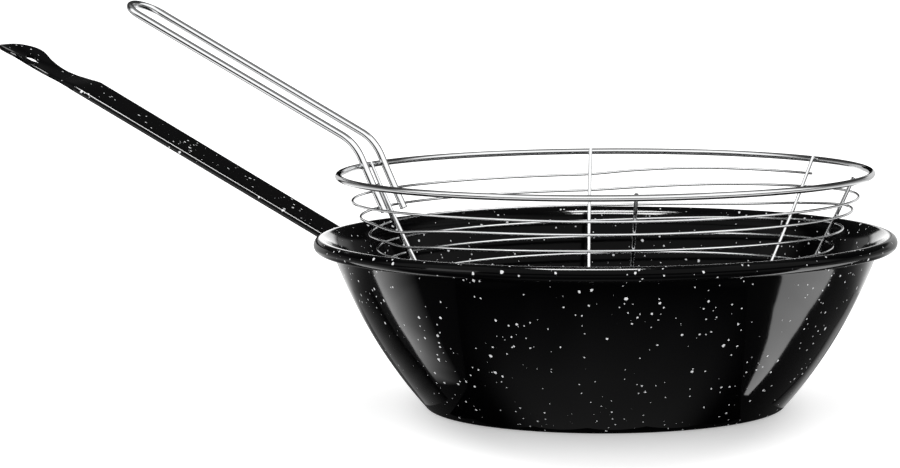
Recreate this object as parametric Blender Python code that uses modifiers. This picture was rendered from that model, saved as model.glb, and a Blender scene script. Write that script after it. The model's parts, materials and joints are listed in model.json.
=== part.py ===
"""Deep fry pot with a lift-out wire basket.

A flared pot of enamelled sheet steel with a rolled rim and a long pressed
handle holds a frying basket of bright wire. Metres, Z up. The pot stands on
Z = 0 with its axis on the Z axis, and both handles point along -X.
"""
import math

import bmesh
import bpy
from mathutils import Vector

MM = 0.001

# Clearance left between pieces that touch
FIT_GAP = 0.3 * MM
# How far a cutter runs past what it cuts
CUT_OVERRUN = 4.0 * MM

# Pot shell, sizes over the enamel
RIM_DIAMETER = 290.0 * MM
POT_HEIGHT = 86.0 * MM
SHELL_THICKNESS = 1.4 * MM
BASE_FLAT_DIAMETER = 175.0 * MM
BASE_CORNER_RADIUS = 3.4 * MM
BASE_CORNER_ANGLE = math.radians(-36.0)
WALL_BULGE = 4.0 * MM
BEAD_RADIUS = 3.5 * MM
RIM_FLARE_RADIUS = 16.0 * MM
BEAD_ENTRY_ANGLE = math.radians(125.0)
BEAD_END_ANGLE = math.radians(-158.0)
WALL_TOP_ANGLE = math.radians(70.0)
SHELL_STEPS = 64
BEAD_STEPS = 12
FLARE_STEPS = 3
CORNER_STEPS = 4
WALL_STEPS = 7

# Pot handle, a pressed channel that opens downwards
HANDLE_THICKNESS = 1.3 * MM
HANDLE_REACH = 350.0 * MM
HANDLE_RISE_ANGLE = math.radians(26.6)
HANDLE_BEAD_CLEARANCE = 1.8 * MM
HANDLE_ROOT_WIDTH = 26.0 * MM
HANDLE_TIP_WIDTH = 30.0 * MM
HANDLE_DEPTH = 3.0 * MM
HANDLE_EDGE_RADIUS = 1.6 * MM
HANDLE_BEND_RADIUS = 9.0 * MM
HANDLE_TAB_LENGTH = 28.0 * MM
TAB_STEPS = 8
# Width of the tab at its lower end and one row up, as shares of the root width
TAB_WIDTH_SHARES = (0.62, 0.89)
HANDLE_END_LENGTH = 56.0 * MM
HANDLE_END_DIP = 3.2 * MM
HANDLE_LEAST_DEPTH = 1.3 * MM
HANDLE_DISH_DEPTH = 2.4 * MM
# Way along the handle's end, width, dip, channel depth and dish, as shares
HANDLE_END_SHARES = (
    (0.0, 1.0, 0.0, 1.0, 0.0),
    (0.06, 0.96, 0.27, 0.75, 0.0),
    (0.14, 0.87, 0.68, 0.2, 0.0),
    (0.26, 0.75, 0.91, 0.0, 0.0),
    (0.4, 0.72, 1.0, 0.0, 0.1),
    (0.57, 0.83, 0.88, 0.0, 0.6),
    (0.71, 1.0, 0.58, 0.0, 1.0),
    (0.81, 0.99, 0.68, 0.0, 0.9),
    (0.91, 0.8, 1.02, 0.0, 0.4),
    (0.96, 0.61, 1.28, 0.0, 0.1),
    (0.99, 0.42, 1.5, 0.0, 0.0),
    (1.0, 0.3, 1.58, 0.0, 0.0),
)
HANDLE_END_STEPS = 22
HANDLE_EDGE_STEPS = 4
HANDLE_WEB_SHARES = (0.5, 0.0, -0.5)
HANDLE_STRAIGHT_SHARES = (0.25, 0.5, 0.75)
HANG_HOLE_DIAMETER = 7.5 * MM
HANG_HOLE_FROM_TIP = 18.5 * MM

# Wire gauges of the basket
RING_WIRE = 3.2 * MM
RIB_WIRE = 1.9 * MM
SPIRAL_WIRE = 1.3 * MM
LOOP_WIRE = 3.9 * MM

# Basket bowl, measured to the middle of the wires
BASKET_RIM_CLEARANCE = 12.7 * MM
RING_DIAMETER = RIM_DIAMETER - 2.0 * BASKET_RIM_CLEARANCE
RING_HEIGHT = 116.6 * MM
BASKET_FLOOR_CLEARANCE = 21.5 * MM
BASKET_FLOOR_DIAMETER = BASE_FLAT_DIAMETER - 2.0 * BASKET_FLOOR_CLEARANCE
BASKET_BULGE = 5.2 * MM
BASKET_CORNER_RADIUS = 9.0 * MM
RIB_PROUD = 0.6 * MM
# The directions of each rib's two legs, as they were welded
RIB_LEG_ANGLES = (
    (math.radians(0.0), math.radians(180.0)),
    (math.radians(57.0), math.radians(237.0)),
    (math.radians(117.2), math.radians(299.5)),
)
RIB_WALL_STEPS = 24
RIB_CORNER_STEPS = 5
# Each rib humps over the ones below it where they cross in the middle
RIB_CROSSING_REACH = 13.0 * MM
RIB_HUMP_SHARES = (-1.0, -0.75, -0.5, -0.25, 0.0, 0.25, 0.5, 0.75, 1.0)
RIB_HUMP_RISE_SHARE = 0.62

# Winding of the thin wire
WINDING_START = 6.3 * MM
WINDING_PITCH = 8.0 * MM
WINDING_EYE_RADIUS = 6.0 * MM
WINDING_FREE_END = 3.4 * MM
WINDING_DROP_ANGLE = math.radians(105.0)
WINDING_DROP_CENTRE = math.radians(72.5)
WINDING_STEP_ANGLE = math.radians(16.5)

# Basket handle, one wire bent into a long closed loop
LOOP_ROOT_WIDTH = 22.0 * MM
LOOP_TIP_WIDTH = 23.4 * MM
LOOP_LEG_BELOW_RING = 22.5 * MM
LOOP_STRAIGHT_ABOVE_RING = 4.0 * MM
LOOP_BEND_RADIUS = 25.0 * MM
LOOP_RISE_ANGLE = math.radians(26.6)
LOOP_REACH = 269.5 * MM
LOOP_STRAIGHT_SHARES = (0.25, 0.5, 0.75, 1.0)

ENAMEL_BLACK = (0.006, 0.006, 0.007)
WIRE_STEEL = (0.72, 0.73, 0.74)


def polar(radius, angle):
    """Return a point on a circle round the origin of a plane."""
    return Vector((radius * math.cos(angle), radius * math.sin(angle)))


def arc(centre, radius, start, end, segments):
    """Return the points of an arc, both ends included."""
    points = []
    for index in range(segments + 1):
        angle = start + (end - start) * index / segments
        points.append(centre + polar(radius, angle))
    return points


def smooth_share(share):
    """Ease a share between 0 and 1."""
    share = min(max(share, 0.0), 1.0)
    return share * share * (3.0 - 2.0 * share)


def bowed_line(start, end, bulge, segments):
    """Return a line between two points that swells sideways by the bulge."""
    run = end - start
    side = Vector((run.y, -run.x)).normalized()
    if side.x < 0.0:
        side.negate()
    points = []
    for index in range(segments + 1):
        share = index / segments
        swell = 4.0 * share * (1.0 - share) * bulge
        points.append(start + run * share + side * swell)
    return points


def path_lengths(points):
    """Return the distance along a path at each of its points."""
    lengths = [0.0]
    for first, second in zip(points, points[1:]):
        lengths.append(lengths[-1] + (second - first).length)
    return lengths


def along(points, lengths, distance):
    """Return the point and the direction at a distance along a path."""
    distance = min(max(distance, 0.0), lengths[-1])
    index = 0
    while index < len(points) - 2 and lengths[index + 1] < distance:
        index += 1
    run = points[index + 1] - points[index]
    share = (distance - lengths[index]) / (lengths[index + 1] - lengths[index])
    return points[index] + run * share, run.normalized()


def at_height(points, height):
    """Return the point of a falling path at a height."""
    for upper, lower in zip(points, points[1:]):
        if lower.y <= height <= upper.y:
            share = (height - lower.y) / (upper.y - lower.y)
            return lower + (upper - lower) * share
    return points[0]


def offset_path(points, distance):
    """Shift a path in its plane to the right of its direction."""
    shifted = []
    for index, point in enumerate(points):
        before = points[max(index - 1, 0)]
        after = points[min(index + 1, len(points) - 1)]
        run = (after - before).normalized()
        shifted.append(point + Vector((run.y, -run.x)) * distance)
    return shifted


def make_collection(name):
    """Add a collection to the scene."""
    collection = bpy.data.collections.new(name)
    bpy.context.scene.collection.children.link(collection)
    return collection


def make_material(name, colour, metallic, roughness):
    """Make a Principled material."""
    material = bpy.data.materials.new(name)
    material.use_nodes = True
    shader = material.node_tree.nodes["Principled BSDF"]
    shader.inputs["Base Color"].default_value = (*colour, 1.0)
    shader.inputs["Metallic"].default_value = metallic
    shader.inputs["Roughness"].default_value = roughness
    material.diffuse_color = (*colour, 1.0)
    return material


def add_piece(name, data, collection, material, parent=None):
    """Add one named piece with its own material."""
    piece = bpy.data.objects.new(name, data)
    collection.objects.link(piece)
    data.materials.append(material)
    if parent is not None:
        piece.parent = parent
        piece.location = -parent.location
    return piece


def pot_wall_profile():
    """Return the middle of the pot's sheet from the rolled edge to the axis."""
    half = SHELL_THICKNESS / 2.0
    bead_centre = Vector((RIM_DIAMETER / 2.0 - BEAD_RADIUS, POT_HEIGHT - BEAD_RADIUS))
    bead_middle = BEAD_RADIUS - half
    bead = arc(bead_centre, bead_middle, BEAD_END_ANGLE, BEAD_ENTRY_ANGLE, BEAD_STEPS)
    flare_centre = bead[-1] - polar(RIM_FLARE_RADIUS, BEAD_ENTRY_ANGLE)
    flare_end = WALL_TOP_ANGLE + math.pi / 2.0
    flare = arc(
        flare_centre, RIM_FLARE_RADIUS, BEAD_ENTRY_ANGLE, flare_end, FLARE_STEPS
    )
    corner_middle = BASE_CORNER_RADIUS - half
    corner_centre = Vector((BASE_FLAT_DIAMETER / 2.0, BASE_CORNER_RADIUS))
    corner_end = -math.pi / 2.0
    corner = arc(
        corner_centre, corner_middle, BASE_CORNER_ANGLE, corner_end, CORNER_STEPS
    )
    wall = bowed_line(flare[-1], corner[0], WALL_BULGE, WALL_STEPS)
    floor_middle = Vector((corner[-1].x / 2.0, half))
    floor = [floor_middle, Vector((0.0, half))]
    return bead + flare[1:] + wall[1:] + corner[1:] + floor


def wall_outside(height):
    """Return the radius of the pot's outer face at a height on its wall."""
    face = offset_path(pot_wall_profile(), -SHELL_THICKNESS / 2.0)
    return at_height(face[BEAD_STEPS + 1 :], height).x


def make_pot_body(collection, material):
    """Turn the pot's sheet round its axis and thicken it."""
    mesh = bpy.data.meshes.new("pot_body")
    profile = pot_wall_profile()
    edges = [(index, index + 1) for index in range(len(profile) - 1)]
    mesh.from_pydata([(point.x, 0.0, point.y) for point in profile], edges, [])
    body = add_piece("pot_body", mesh, collection, material)
    screw = body.modifiers.new("turn", "SCREW")
    screw.axis = "Z"
    screw.angle = math.tau
    screw.steps = SHELL_STEPS
    screw.render_steps = SHELL_STEPS
    screw.use_merge_vertices = True
    screw.merge_threshold = FIT_GAP / 10.0
    sheet = body.modifiers.new("sheet", "SOLIDIFY")
    sheet.thickness = SHELL_THICKNESS
    sheet.offset = 0.0
    sheet.use_even_offset = True
    return body


def handle_path():
    """Return the middle of the handle's web, as reach from the axis and height."""
    half = HANDLE_THICKNESS / 2.0
    run = polar(1.0, HANDLE_RISE_ANGLE)
    up = Vector((-run.y, run.x))
    bead_centre = Vector((RIM_DIAMETER / 2.0 - BEAD_RADIUS, POT_HEIGHT - BEAD_RADIUS))
    drop = BEAD_RADIUS + HANDLE_BEAD_CLEARANCE + half
    under_bead = bead_centre - up * drop
    standoff = FIT_GAP + half
    # The height at which the sloping web meets the face of the tab
    height = under_bead.y
    for _ in range(40):
        reach = wall_outside(height) + standoff
        height = under_bead.y + (reach - under_bead.x) * math.tan(HANDLE_RISE_ANGLE)
    corner = Vector((reach, height))
    tab = []
    for index in range(TAB_STEPS + 1):
        level = corner.y - HANDLE_TAB_LENGTH * (1.0 - index / TAB_STEPS)
        tab.append(Vector((wall_outside(level) + standoff, level)))
    wall_run = (tab[-1] - tab[-2]).normalized()
    turn = wall_run.angle(run)
    tangent = HANDLE_BEND_RADIUS * math.tan(turn / 2.0)
    start = corner - wall_run * tangent
    bend_centre = start + Vector((wall_run.y, -wall_run.x)) * HANDLE_BEND_RADIUS
    start_angle = math.atan2(start.y - bend_centre.y, start.x - bend_centre.x)
    bend = arc(bend_centre, HANDLE_BEND_RADIUS, start_angle, start_angle - turn, 6)
    tab = [point for point in tab if point.y < start.y - half]
    tip = bend[-1] + run * ((HANDLE_REACH - bend[-1].x) / run.x)
    return tab, bend, tip


def handle_end_shares(way):
    """Return the width, dip, depth and dish shares at a way along the end."""
    table = HANDLE_END_SHARES
    index = 0
    while index < len(table) - 2 and table[index + 1][0] < way:
        index += 1
    before = table[max(index - 1, 0)]
    first = table[index]
    second = table[index + 1]
    after = table[min(index + 2, len(table) - 1)]
    gap = second[0] - first[0]
    here = (way - first[0]) / gap
    values = []
    for column in range(1, 5):
        low = (second[column] - before[column]) / (second[0] - before[0]) * gap
        high = (after[column] - first[column]) / (after[0] - first[0]) * gap
        rise = second[column] - first[column]
        square = 3.0 * rise - 2.0 * low - high
        cube = low + high - 2.0 * rise
        value = first[column] + here * (low + here * (square + here * cube))
        values.append(value)
    return values


def handle_section(half_width, depth):
    """Return the channel's section as side and drop, from edge to edge."""
    radius = min(HANDLE_EDGE_RADIUS, depth)
    corner_side = half_width - radius
    side_points = [Vector((half_width, depth))]
    for index in range(HANDLE_EDGE_STEPS + 1):
        turn = polar(radius, math.pi / 2.0 * index / HANDLE_EDGE_STEPS)
        side_points.append(Vector((corner_side + turn.x, radius - turn.y)))
    web = [Vector((corner_side * share, 0.0)) for share in HANDLE_WEB_SHARES]
    other = [Vector((-point.x, point.y)) for point in reversed(side_points)]
    return side_points + web + other


def make_pot_handle(collection, cutters, material):
    """Press a sheet into a channel that follows the handle's path."""
    tab, bend, tip = handle_path()
    root = tab + bend
    run = (tip - bend[-1]).normalized()
    straight = (tip - bend[-1]).length
    end_start = straight - HANDLE_END_LENGTH
    distances = [end_start * share for share in HANDLE_STRAIGHT_SHARES]
    for index in range(HANDLE_END_STEPS + 1):
        way = math.sin(math.pi / 2.0 * index / HANDLE_END_STEPS)
        distances.append(end_start + HANDLE_END_LENGTH * way)

    half_thickness = HANDLE_THICKNESS / 2.0
    centre_depth = HANDLE_DEPTH - half_thickness
    stations = []
    root_lengths = path_lengths(root)
    for index, point in enumerate(root):
        before = root[max(index - 1, 0)]
        after = root[min(index + 1, len(root) - 1)]
        direction = (after - before).normalized()
        if index == len(root) - 1:
            direction = run
        share = smooth_share(root_lengths[index] / HANDLE_TAB_LENGTH)
        depth = half_thickness + (centre_depth - half_thickness) * share
        half_width = HANDLE_ROOT_WIDTH / 2.0
        if index < len(TAB_WIDTH_SHARES):
            half_width *= TAB_WIDTH_SHARES[index]
        bow_share = 1.0 - smooth_share((index - len(tab) + 1) / len(bend))
        stations.append((point, direction, half_width, depth, bow_share, 0.0))
    least_depth = HANDLE_LEAST_DEPTH - half_thickness
    for distance in distances:
        share = distance / straight
        way = max(distance - end_start, 0.0) / HANDLE_END_LENGTH
        wide, dipped, deep, dished = handle_end_shares(way)
        width = HANDLE_ROOT_WIDTH + (HANDLE_TIP_WIDTH - HANDLE_ROOT_WIDTH) * share
        half_width = width / 2.0 * wide - half_thickness
        depth = least_depth + (centre_depth - least_depth) * max(deep, 0.0)
        dip = HANDLE_END_DIP * dipped
        point = bend[-1] + run * distance + Vector((run.y, -run.x)) * dip
        dish = HANDLE_DISH_DEPTH * max(dished, 0.0)
        stations.append((point, run, half_width, depth, 0.0, dish))

    section_count = len(handle_section(HANDLE_ROOT_WIDTH, HANDLE_DEPTH))
    shape = bmesh.new()
    bmesh.ops.create_grid(
        shape,
        x_segments=len(stations) - 1,
        y_segments=section_count - 1,
        size=1.0,
    )
    for vertex in shape.verts:
        row = round((vertex.co.x + 1.0) / 2.0 * (len(stations) - 1))
        column = round((vertex.co.y + 1.0) / 2.0 * (section_count - 1))
        point, direction, half_width, depth, bow_share, dish = stations[row]
        place = handle_section(half_width, depth)[column]
        hollow = dish * (1.0 - (place.x / half_width) ** 2)
        down = Vector((direction.y, -direction.x))
        spot = point + down * (place.y + hollow)
        wall_radius = point.x
        bow = wall_radius - math.sqrt(wall_radius * wall_radius - place.x * place.x)
        vertex.co = Vector((-spot.x + bow * bow_share, place.x, spot.y))
    bmesh.ops.recalc_face_normals(shape, faces=shape.faces)
    mesh = bpy.data.meshes.new("pot_handle")
    shape.to_mesh(mesh)
    shape.free()
    handle = add_piece("pot_handle", mesh, collection, material)
    sheet = handle.modifiers.new("sheet", "SOLIDIFY")
    sheet.thickness = HANDLE_THICKNESS
    sheet.offset = 0.0
    sheet.use_even_offset = True

    hole_at = tip - run * HANG_HOLE_FROM_TIP
    bpy.ops.mesh.primitive_cylinder_add(
        vertices=24,
        radius=HANG_HOLE_DIAMETER / 2.0,
        depth=HANDLE_DEPTH + HANDLE_END_DIP + HANDLE_DISH_DEPTH + CUT_OVERRUN,
    )
    cutter = bpy.context.object
    cutter.name = "hang_hole_cutter"
    cutter.location = (-hole_at.x, 0.0, hole_at.y)
    cutter.rotation_euler = (0.0, HANDLE_RISE_ANGLE, 0.0)
    for owner in list(cutter.users_collection):
        owner.objects.unlink(cutter)
    cutters.objects.link(cutter)
    cutter.hide_render = True
    cutter.display_type = "WIRE"
    hole = handle.modifiers.new("hang_hole", "BOOLEAN")
    hole.operation = "DIFFERENCE"
    hole.solver = "EXACT"
    hole.object = cutter
    return handle


def make_wire(name, points, gauge, sides, collection, material, parent):
    """Draw a round wire with flat ends through a list of points."""
    curve = bpy.data.curves.new(name, "CURVE")
    curve.dimensions = "3D"
    curve.bevel_depth = gauge / 2.0
    curve.bevel_resolution = (sides - 4) // 2
    curve.use_fill_caps = True
    spline = curve.splines.new("POLY")
    spline.points.add(len(points) - 1)
    for spot, point in zip(spline.points, points):
        spot.co = (*point, 1.0)
    return add_piece(name, curve, collection, material, parent)


def rib_profile():
    """Return half of a rib wire, from its top end down to the basket's middle."""
    floor_level = SHELL_THICKNESS + FIT_GAP + SPIRAL_WIRE + FIT_GAP + RIB_WIRE / 2.0
    top_radius = RING_DIAMETER / 2.0 - RING_WIRE / 2.0 - FIT_GAP - RIB_WIRE / 2.0
    ring_point = Vector((top_radius, RING_HEIGHT))
    foot = Vector((BASKET_FLOOR_DIAMETER / 2.0, floor_level))
    wall = bowed_line(ring_point, foot, BASKET_BULGE, RIB_WALL_STEPS)
    upward = (wall[0] - wall[1]).normalized()
    rise = (RING_WIRE / 2.0 + RIB_PROUD) / upward.y
    wall.insert(0, wall[0] + upward * rise)
    # A bend replaces the sharp corner at the foot
    lengths = path_lengths(wall)
    downward = (wall[-1] - wall[-2]).normalized()
    turn = math.atan2(-downward.y, -downward.x)
    tangent = BASKET_CORNER_RADIUS * math.tan(turn / 2.0)
    wall = [point for point, run in zip(wall, lengths) if run < lengths[-1] - tangent]
    centre = foot + Vector((-tangent, BASKET_CORNER_RADIUS))
    down = -math.pi / 2.0
    corner = arc(centre, BASKET_CORNER_RADIUS, turn + down, down, RIB_CORNER_STEPS)
    return wall + corner + [Vector((0.0, floor_level))]


def make_ribs(collection, parent):
    """Bend the rib wires, each down one wall, across the floor and up the other."""
    profile = rib_profile()
    kept = profile[0:2] + profile[3:-7:3] + profile[-7:-1]
    ribs = []
    floor_level = profile[-1].y
    for number, (angle, far_angle) in enumerate(RIB_LEG_ANGLES):
        hump = number * (RIB_WIRE + FIT_GAP)
        middle = []
        if number:
            for share in RIB_HUMP_SHARES:
                reach = RIB_CROSSING_REACH * number * share
                lift = hump * smooth_share((1.0 - abs(share)) / RIB_HUMP_RISE_SHARE)
                middle.append(Vector((reach, floor_level + lift)))
        left = [Vector((-point.x, point.y)) for point in kept]
        points = []
        for point in left + middle + list(reversed(kept)):
            flat = polar(abs(point.x), far_angle if point.x < 0.0 else angle)
            points.append((flat.x, flat.y, point.y))
        name = f"basket_rib_wire_{number + 1}"
        steel = make_material(f"basket_rib_steel_{number + 1}", WIRE_STEEL, 1.0, 0.2)
        ribs.append(make_wire(name, points, RIB_WIRE, 8, collection, steel, parent))
    return ribs


def winding_points():
    """Return the points of the thin wire, from its free end to its eye."""
    reach = (RIB_WIRE + SPIRAL_WIRE) / 2.0 + FIT_GAP
    outline = rib_profile()
    dense = []
    for first, second in zip(outline[1:], outline[2:]):
        steps = max(1, int((second - first).length / SPIRAL_WIRE))
        for step in range(steps):
            dense.append(first + (second - first) * step / steps)
    dense.append(outline[-1])
    line = offset_path(dense, -reach)
    lengths = path_lengths(line)
    level = RING_HEIGHT - WINDING_START
    corner_level = BASKET_CORNER_RADIUS
    below = [run for point, run in zip(line, lengths) if point.y < corner_level]
    corner_run = below[0]
    wall_turns = (level - corner_level) / WINDING_PITCH
    floor_run = lengths[-1] - WINDING_EYE_RADIUS - corner_run
    floor_turns = floor_run / WINDING_PITCH
    first_rib = RIB_LEG_ANGLES[1][0]
    start = first_rib - WINDING_FREE_END / (RING_DIAMETER / 2.0)
    leg_angle = math.asin(LOOP_ROOT_WIDTH / (RING_DIAMETER - RIB_WIRE))
    anchors = [angle for pair in RIB_LEG_ANGLES for angle in pair]
    anchors += [math.pi - leg_angle, math.pi + leg_angle]
    anchors.sort()
    angles = [start, first_rib]
    total = start + math.tau * (wall_turns + floor_turns)
    turn = 0
    index = anchors.index(first_rib)
    while angles[-1] < total:
        here = anchors[index] + math.tau * turn
        index += 1
        if index == len(anchors):
            index = 0
            turn += 1
        there = anchors[index] + math.tau * turn
        steps = max(1, round((there - here) / WINDING_STEP_ANGLE))
        for step in range(1, steps + 1):
            angles.append(here + (there - here) * step / steps)
    angles = [angle for angle in angles if angle < total]

    def turns_done(angle):
        """Count the pitches wound, with each step down kept to one sector."""
        turns = (angle - WINDING_DROP_CENTRE) / math.tau
        whole = math.floor(turns + 0.5)
        part = (turns - whole) * math.tau / WINDING_DROP_ANGLE
        stepped = whole - 0.5 + smooth_share(part + 0.5)
        even = smooth_share((turns - wall_turns + 2.0) / 2.0)
        return stepped + (turns - stepped) * even

    origin = turns_done(start)
    points = []
    for angle in angles:
        drop = (turns_done(angle) - origin) * WINDING_PITCH
        height = level - drop
        if height > corner_level:
            spot = at_height(line, height)
        else:
            spot = along(line, lengths, corner_run + corner_level - height)[0]
        flat = polar(spot.x, angle)
        points.append(Vector((flat.x, flat.y, spot.y)))
    return points, angles


def least_self_gap(points, angles, gauge):
    """Return the least clear distance between turns of the winding."""
    least = RIM_DIAMETER
    for index, point in enumerate(points):
        for other in range(index + 1, len(points) - 1):
            if angles[other] - angles[index] < math.pi:
                continue
            if angles[other] - angles[index] > 2.0 * math.tau:
                break
            run = points[other + 1] - points[other]
            share = (point - points[other]).dot(run) / run.length_squared
            share = min(max(share, 0.0), 1.0)
            nearest = points[other] + run * share
            least = min(least, (point - nearest).length - gauge)
    return least


def make_winding(collection, material, parent):
    """Wind the thin wire down the wall and over the floor in one piece."""
    points, angles = winding_points()
    gap = least_self_gap(points, angles, SPIRAL_WIRE)
    turns = (angles[-1] - angles[0]) / math.tau
    print(f"winding: {turns:.1f} turns, least gap to itself {gap / MM:.2f} mm")
    name = "basket_spiral_wire"
    return make_wire(name, points, SPIRAL_WIRE, 6, collection, material, parent)


def make_ring(collection, material, parent):
    """Make the thick ring round the mouth of the basket."""
    bpy.ops.mesh.primitive_torus_add(
        major_segments=72,
        minor_segments=10,
        major_radius=RING_DIAMETER / 2.0,
        minor_radius=RING_WIRE / 2.0,
    )
    made = bpy.context.object
    mesh = made.data
    bpy.data.objects.remove(made)
    mesh.name = "basket_top_ring"
    ring = add_piece("basket_top_ring", mesh, collection, material, parent)
    ring.location = (0.0, 0.0, RING_HEIGHT - parent.location.z)
    return ring


def make_loop(collection, material, parent):
    """Bend the basket's handle: two legs down the wall and a long round loop."""
    rib = rib_profile()
    inset = (LOOP_WIRE - RIB_WIRE) / 2.0
    inner = offset_path(rib, inset)
    half_root = LOOP_ROOT_WIDTH / 2.0
    leg = []
    for point in inner[1:]:
        if point.y < RING_HEIGHT - LOOP_LEG_BELOW_RING:
            break
        leg.append(point)
    lowest = RING_HEIGHT - LOOP_LEG_BELOW_RING
    below = inner[1 + len(leg)]
    share = (leg[-1].y - lowest) / (leg[-1].y - below.y)
    leg = leg[0::2] + [leg[-1] + (below - leg[-1]) * share]
    leg.reverse()
    upward = (leg[-1] - leg[-2]).normalized()
    bend_start = leg[-1] + upward * (LOOP_STRAIGHT_ABOVE_RING / upward.y)
    rise = polar(1.0, LOOP_RISE_ANGLE)
    turn = upward.angle(rise)
    centre = bend_start + Vector((upward.y, -upward.x)) * LOOP_BEND_RADIUS
    start_angle = math.atan2(bend_start.y - centre.y, bend_start.x - centre.x)
    bend = arc(centre, LOOP_BEND_RADIUS, start_angle, start_angle - turn, 6)
    tip_radius = LOOP_TIP_WIDTH / 2.0
    straight = (LOOP_REACH - bend[-1].x) / rise.x - tip_radius
    stretch = [bend[-1] + rise * straight * share for share in LOOP_STRAIGHT_SHARES]
    line = leg + bend + stretch
    lengths = path_lengths(line)
    bend_end = lengths[len(leg) + len(bend) - 1]
    side = []
    for point, run in zip(line, lengths):
        share = max(run - bend_end, 0.0) / (lengths[-1] - bend_end)
        half_width = half_root + (tip_radius - half_root) * share
        bow = point.x - math.sqrt(point.x * point.x - half_root * half_root)
        reach = point.x - bow
        side.append(Vector((-reach, half_width, point.y)))
    tip_centre = line[-1]
    bow = tip_centre.x - math.sqrt(tip_centre.x**2 - half_root**2)
    tip = []
    for index in range(1, 10):
        swing = polar(tip_radius, math.pi * index / 10.0)
        spot = tip_centre + rise * swing.y
        tip.append(Vector((-spot.x + bow, swing.x, spot.y)))
    other = [Vector((point.x, -point.y, point.z)) for point in reversed(side)]
    points = side + tip + other
    name = "basket_handle_loop"
    return make_wire(name, points, LOOP_WIRE, 10, collection, material, parent)


def main():
    """Build the whole part."""
    for old in list(bpy.data.objects):
        bpy.data.objects.remove(old)
    pieces = make_collection("deep_fry_pot_with_basket")
    cutters = make_collection("cutters")
    body_enamel = make_material("pot_body_enamel", ENAMEL_BLACK, 0.0, 0.12)
    handle_enamel = make_material("pot_handle_enamel", ENAMEL_BLACK, 0.0, 0.12)
    make_pot_body(pieces, body_enamel)
    make_pot_handle(pieces, cutters, handle_enamel)

    lift = bpy.data.objects.new("basket_lift", None)
    lift.location = (0.0, 0.0, SHELL_THICKNESS + FIT_GAP)
    pieces.objects.link(lift)
    ring_steel = make_material("basket_ring_steel", WIRE_STEEL, 1.0, 0.16)
    spiral_steel = make_material("basket_spiral_steel", WIRE_STEEL, 1.0, 0.2)
    loop_steel = make_material("basket_handle_steel", WIRE_STEEL, 1.0, 0.14)
    make_ring(pieces, ring_steel, lift)
    make_ribs(pieces, lift)
    make_winding(pieces, spiral_steel, lift)
    make_loop(pieces, loop_steel, lift)


main()
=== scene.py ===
# %% [markdown]
# # A deep fry pot with a lift-out wire basket
#
# The pot is black enamelled steel: sheet pressed to a bowl with a rolled rim, dipped in glass
# enamel and fired, with white specks spattered on before the last firing. The basket is bright
# plated wire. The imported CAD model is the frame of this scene. Its pieces are right in size and
# place but faceted, so each is drawn again here along the same lines, with finer steps and with
# its real finish.

import json
import math

import bmesh
import bpy
from mathutils import Matrix, Vector

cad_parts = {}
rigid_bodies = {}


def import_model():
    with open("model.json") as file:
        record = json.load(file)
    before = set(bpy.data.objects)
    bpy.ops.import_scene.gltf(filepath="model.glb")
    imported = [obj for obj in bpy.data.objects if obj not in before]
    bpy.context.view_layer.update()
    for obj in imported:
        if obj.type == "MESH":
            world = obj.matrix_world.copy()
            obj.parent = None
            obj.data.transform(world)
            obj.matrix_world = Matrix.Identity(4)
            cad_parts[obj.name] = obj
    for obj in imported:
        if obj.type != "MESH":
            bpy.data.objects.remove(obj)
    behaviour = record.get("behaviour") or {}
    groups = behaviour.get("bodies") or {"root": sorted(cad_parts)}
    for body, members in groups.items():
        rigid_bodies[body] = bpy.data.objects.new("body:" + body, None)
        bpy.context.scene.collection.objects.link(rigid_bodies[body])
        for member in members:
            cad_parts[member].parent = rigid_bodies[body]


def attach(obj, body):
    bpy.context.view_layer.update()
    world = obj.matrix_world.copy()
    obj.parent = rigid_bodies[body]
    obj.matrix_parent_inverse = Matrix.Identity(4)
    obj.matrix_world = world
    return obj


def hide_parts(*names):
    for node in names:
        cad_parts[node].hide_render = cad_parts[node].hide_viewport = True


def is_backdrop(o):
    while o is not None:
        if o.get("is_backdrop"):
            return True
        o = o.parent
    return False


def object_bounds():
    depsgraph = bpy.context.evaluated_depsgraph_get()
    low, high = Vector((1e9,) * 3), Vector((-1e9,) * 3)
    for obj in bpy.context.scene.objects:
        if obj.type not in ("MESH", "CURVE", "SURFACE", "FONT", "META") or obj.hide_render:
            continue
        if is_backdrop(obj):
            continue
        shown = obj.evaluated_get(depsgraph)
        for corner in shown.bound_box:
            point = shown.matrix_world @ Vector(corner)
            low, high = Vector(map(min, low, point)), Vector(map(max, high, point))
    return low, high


for leftover in list(bpy.data.objects):
    bpy.data.objects.remove(leftover)
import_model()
cad_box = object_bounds()

# Blender counts in metres, so every size in millimetres is times this
MM = 0.001

# %% [markdown]
# ## The camera
#
# The photograph was taken from about 1.7 m away and just above the rim. Both handles point left
# and away from the camera, so the view is turned about the pot's axis. The directions right, back
# and up of that view are used again for the lamps, which stand round the camera as in a small
# studio.

# %% Camera
IMAGE_WIDTH = 900
SENSOR_WIDTH = 36.0
FOCAL_PIXELS = 3410.4
VIEW_TURN = math.radians(25.7)
VIEW_HEIGHT_ANGLE = math.radians(6.074)
VIEW_ROLL = math.radians(-0.514)
VIEW_DISTANCE = 1700.0 * MM
CLIP_RATIO = 100.0
AIM_RIGHT = -76.97 * MM
AIM_UP = 86.77 * MM

turn = Matrix.Rotation(VIEW_TURN, 3, "Z")
view_right = turn @ Vector((1.0, 0.0, 0.0))
view_back = turn @ Vector((0.0, 1.0, 0.0))
view_up = Vector((0.0, 0.0, 1.0))


def studio_place(right, back, up):
    """Return the point that lies so far right, back and up as the camera sees it."""
    return view_right * right + view_back * back + view_up * up


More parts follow.
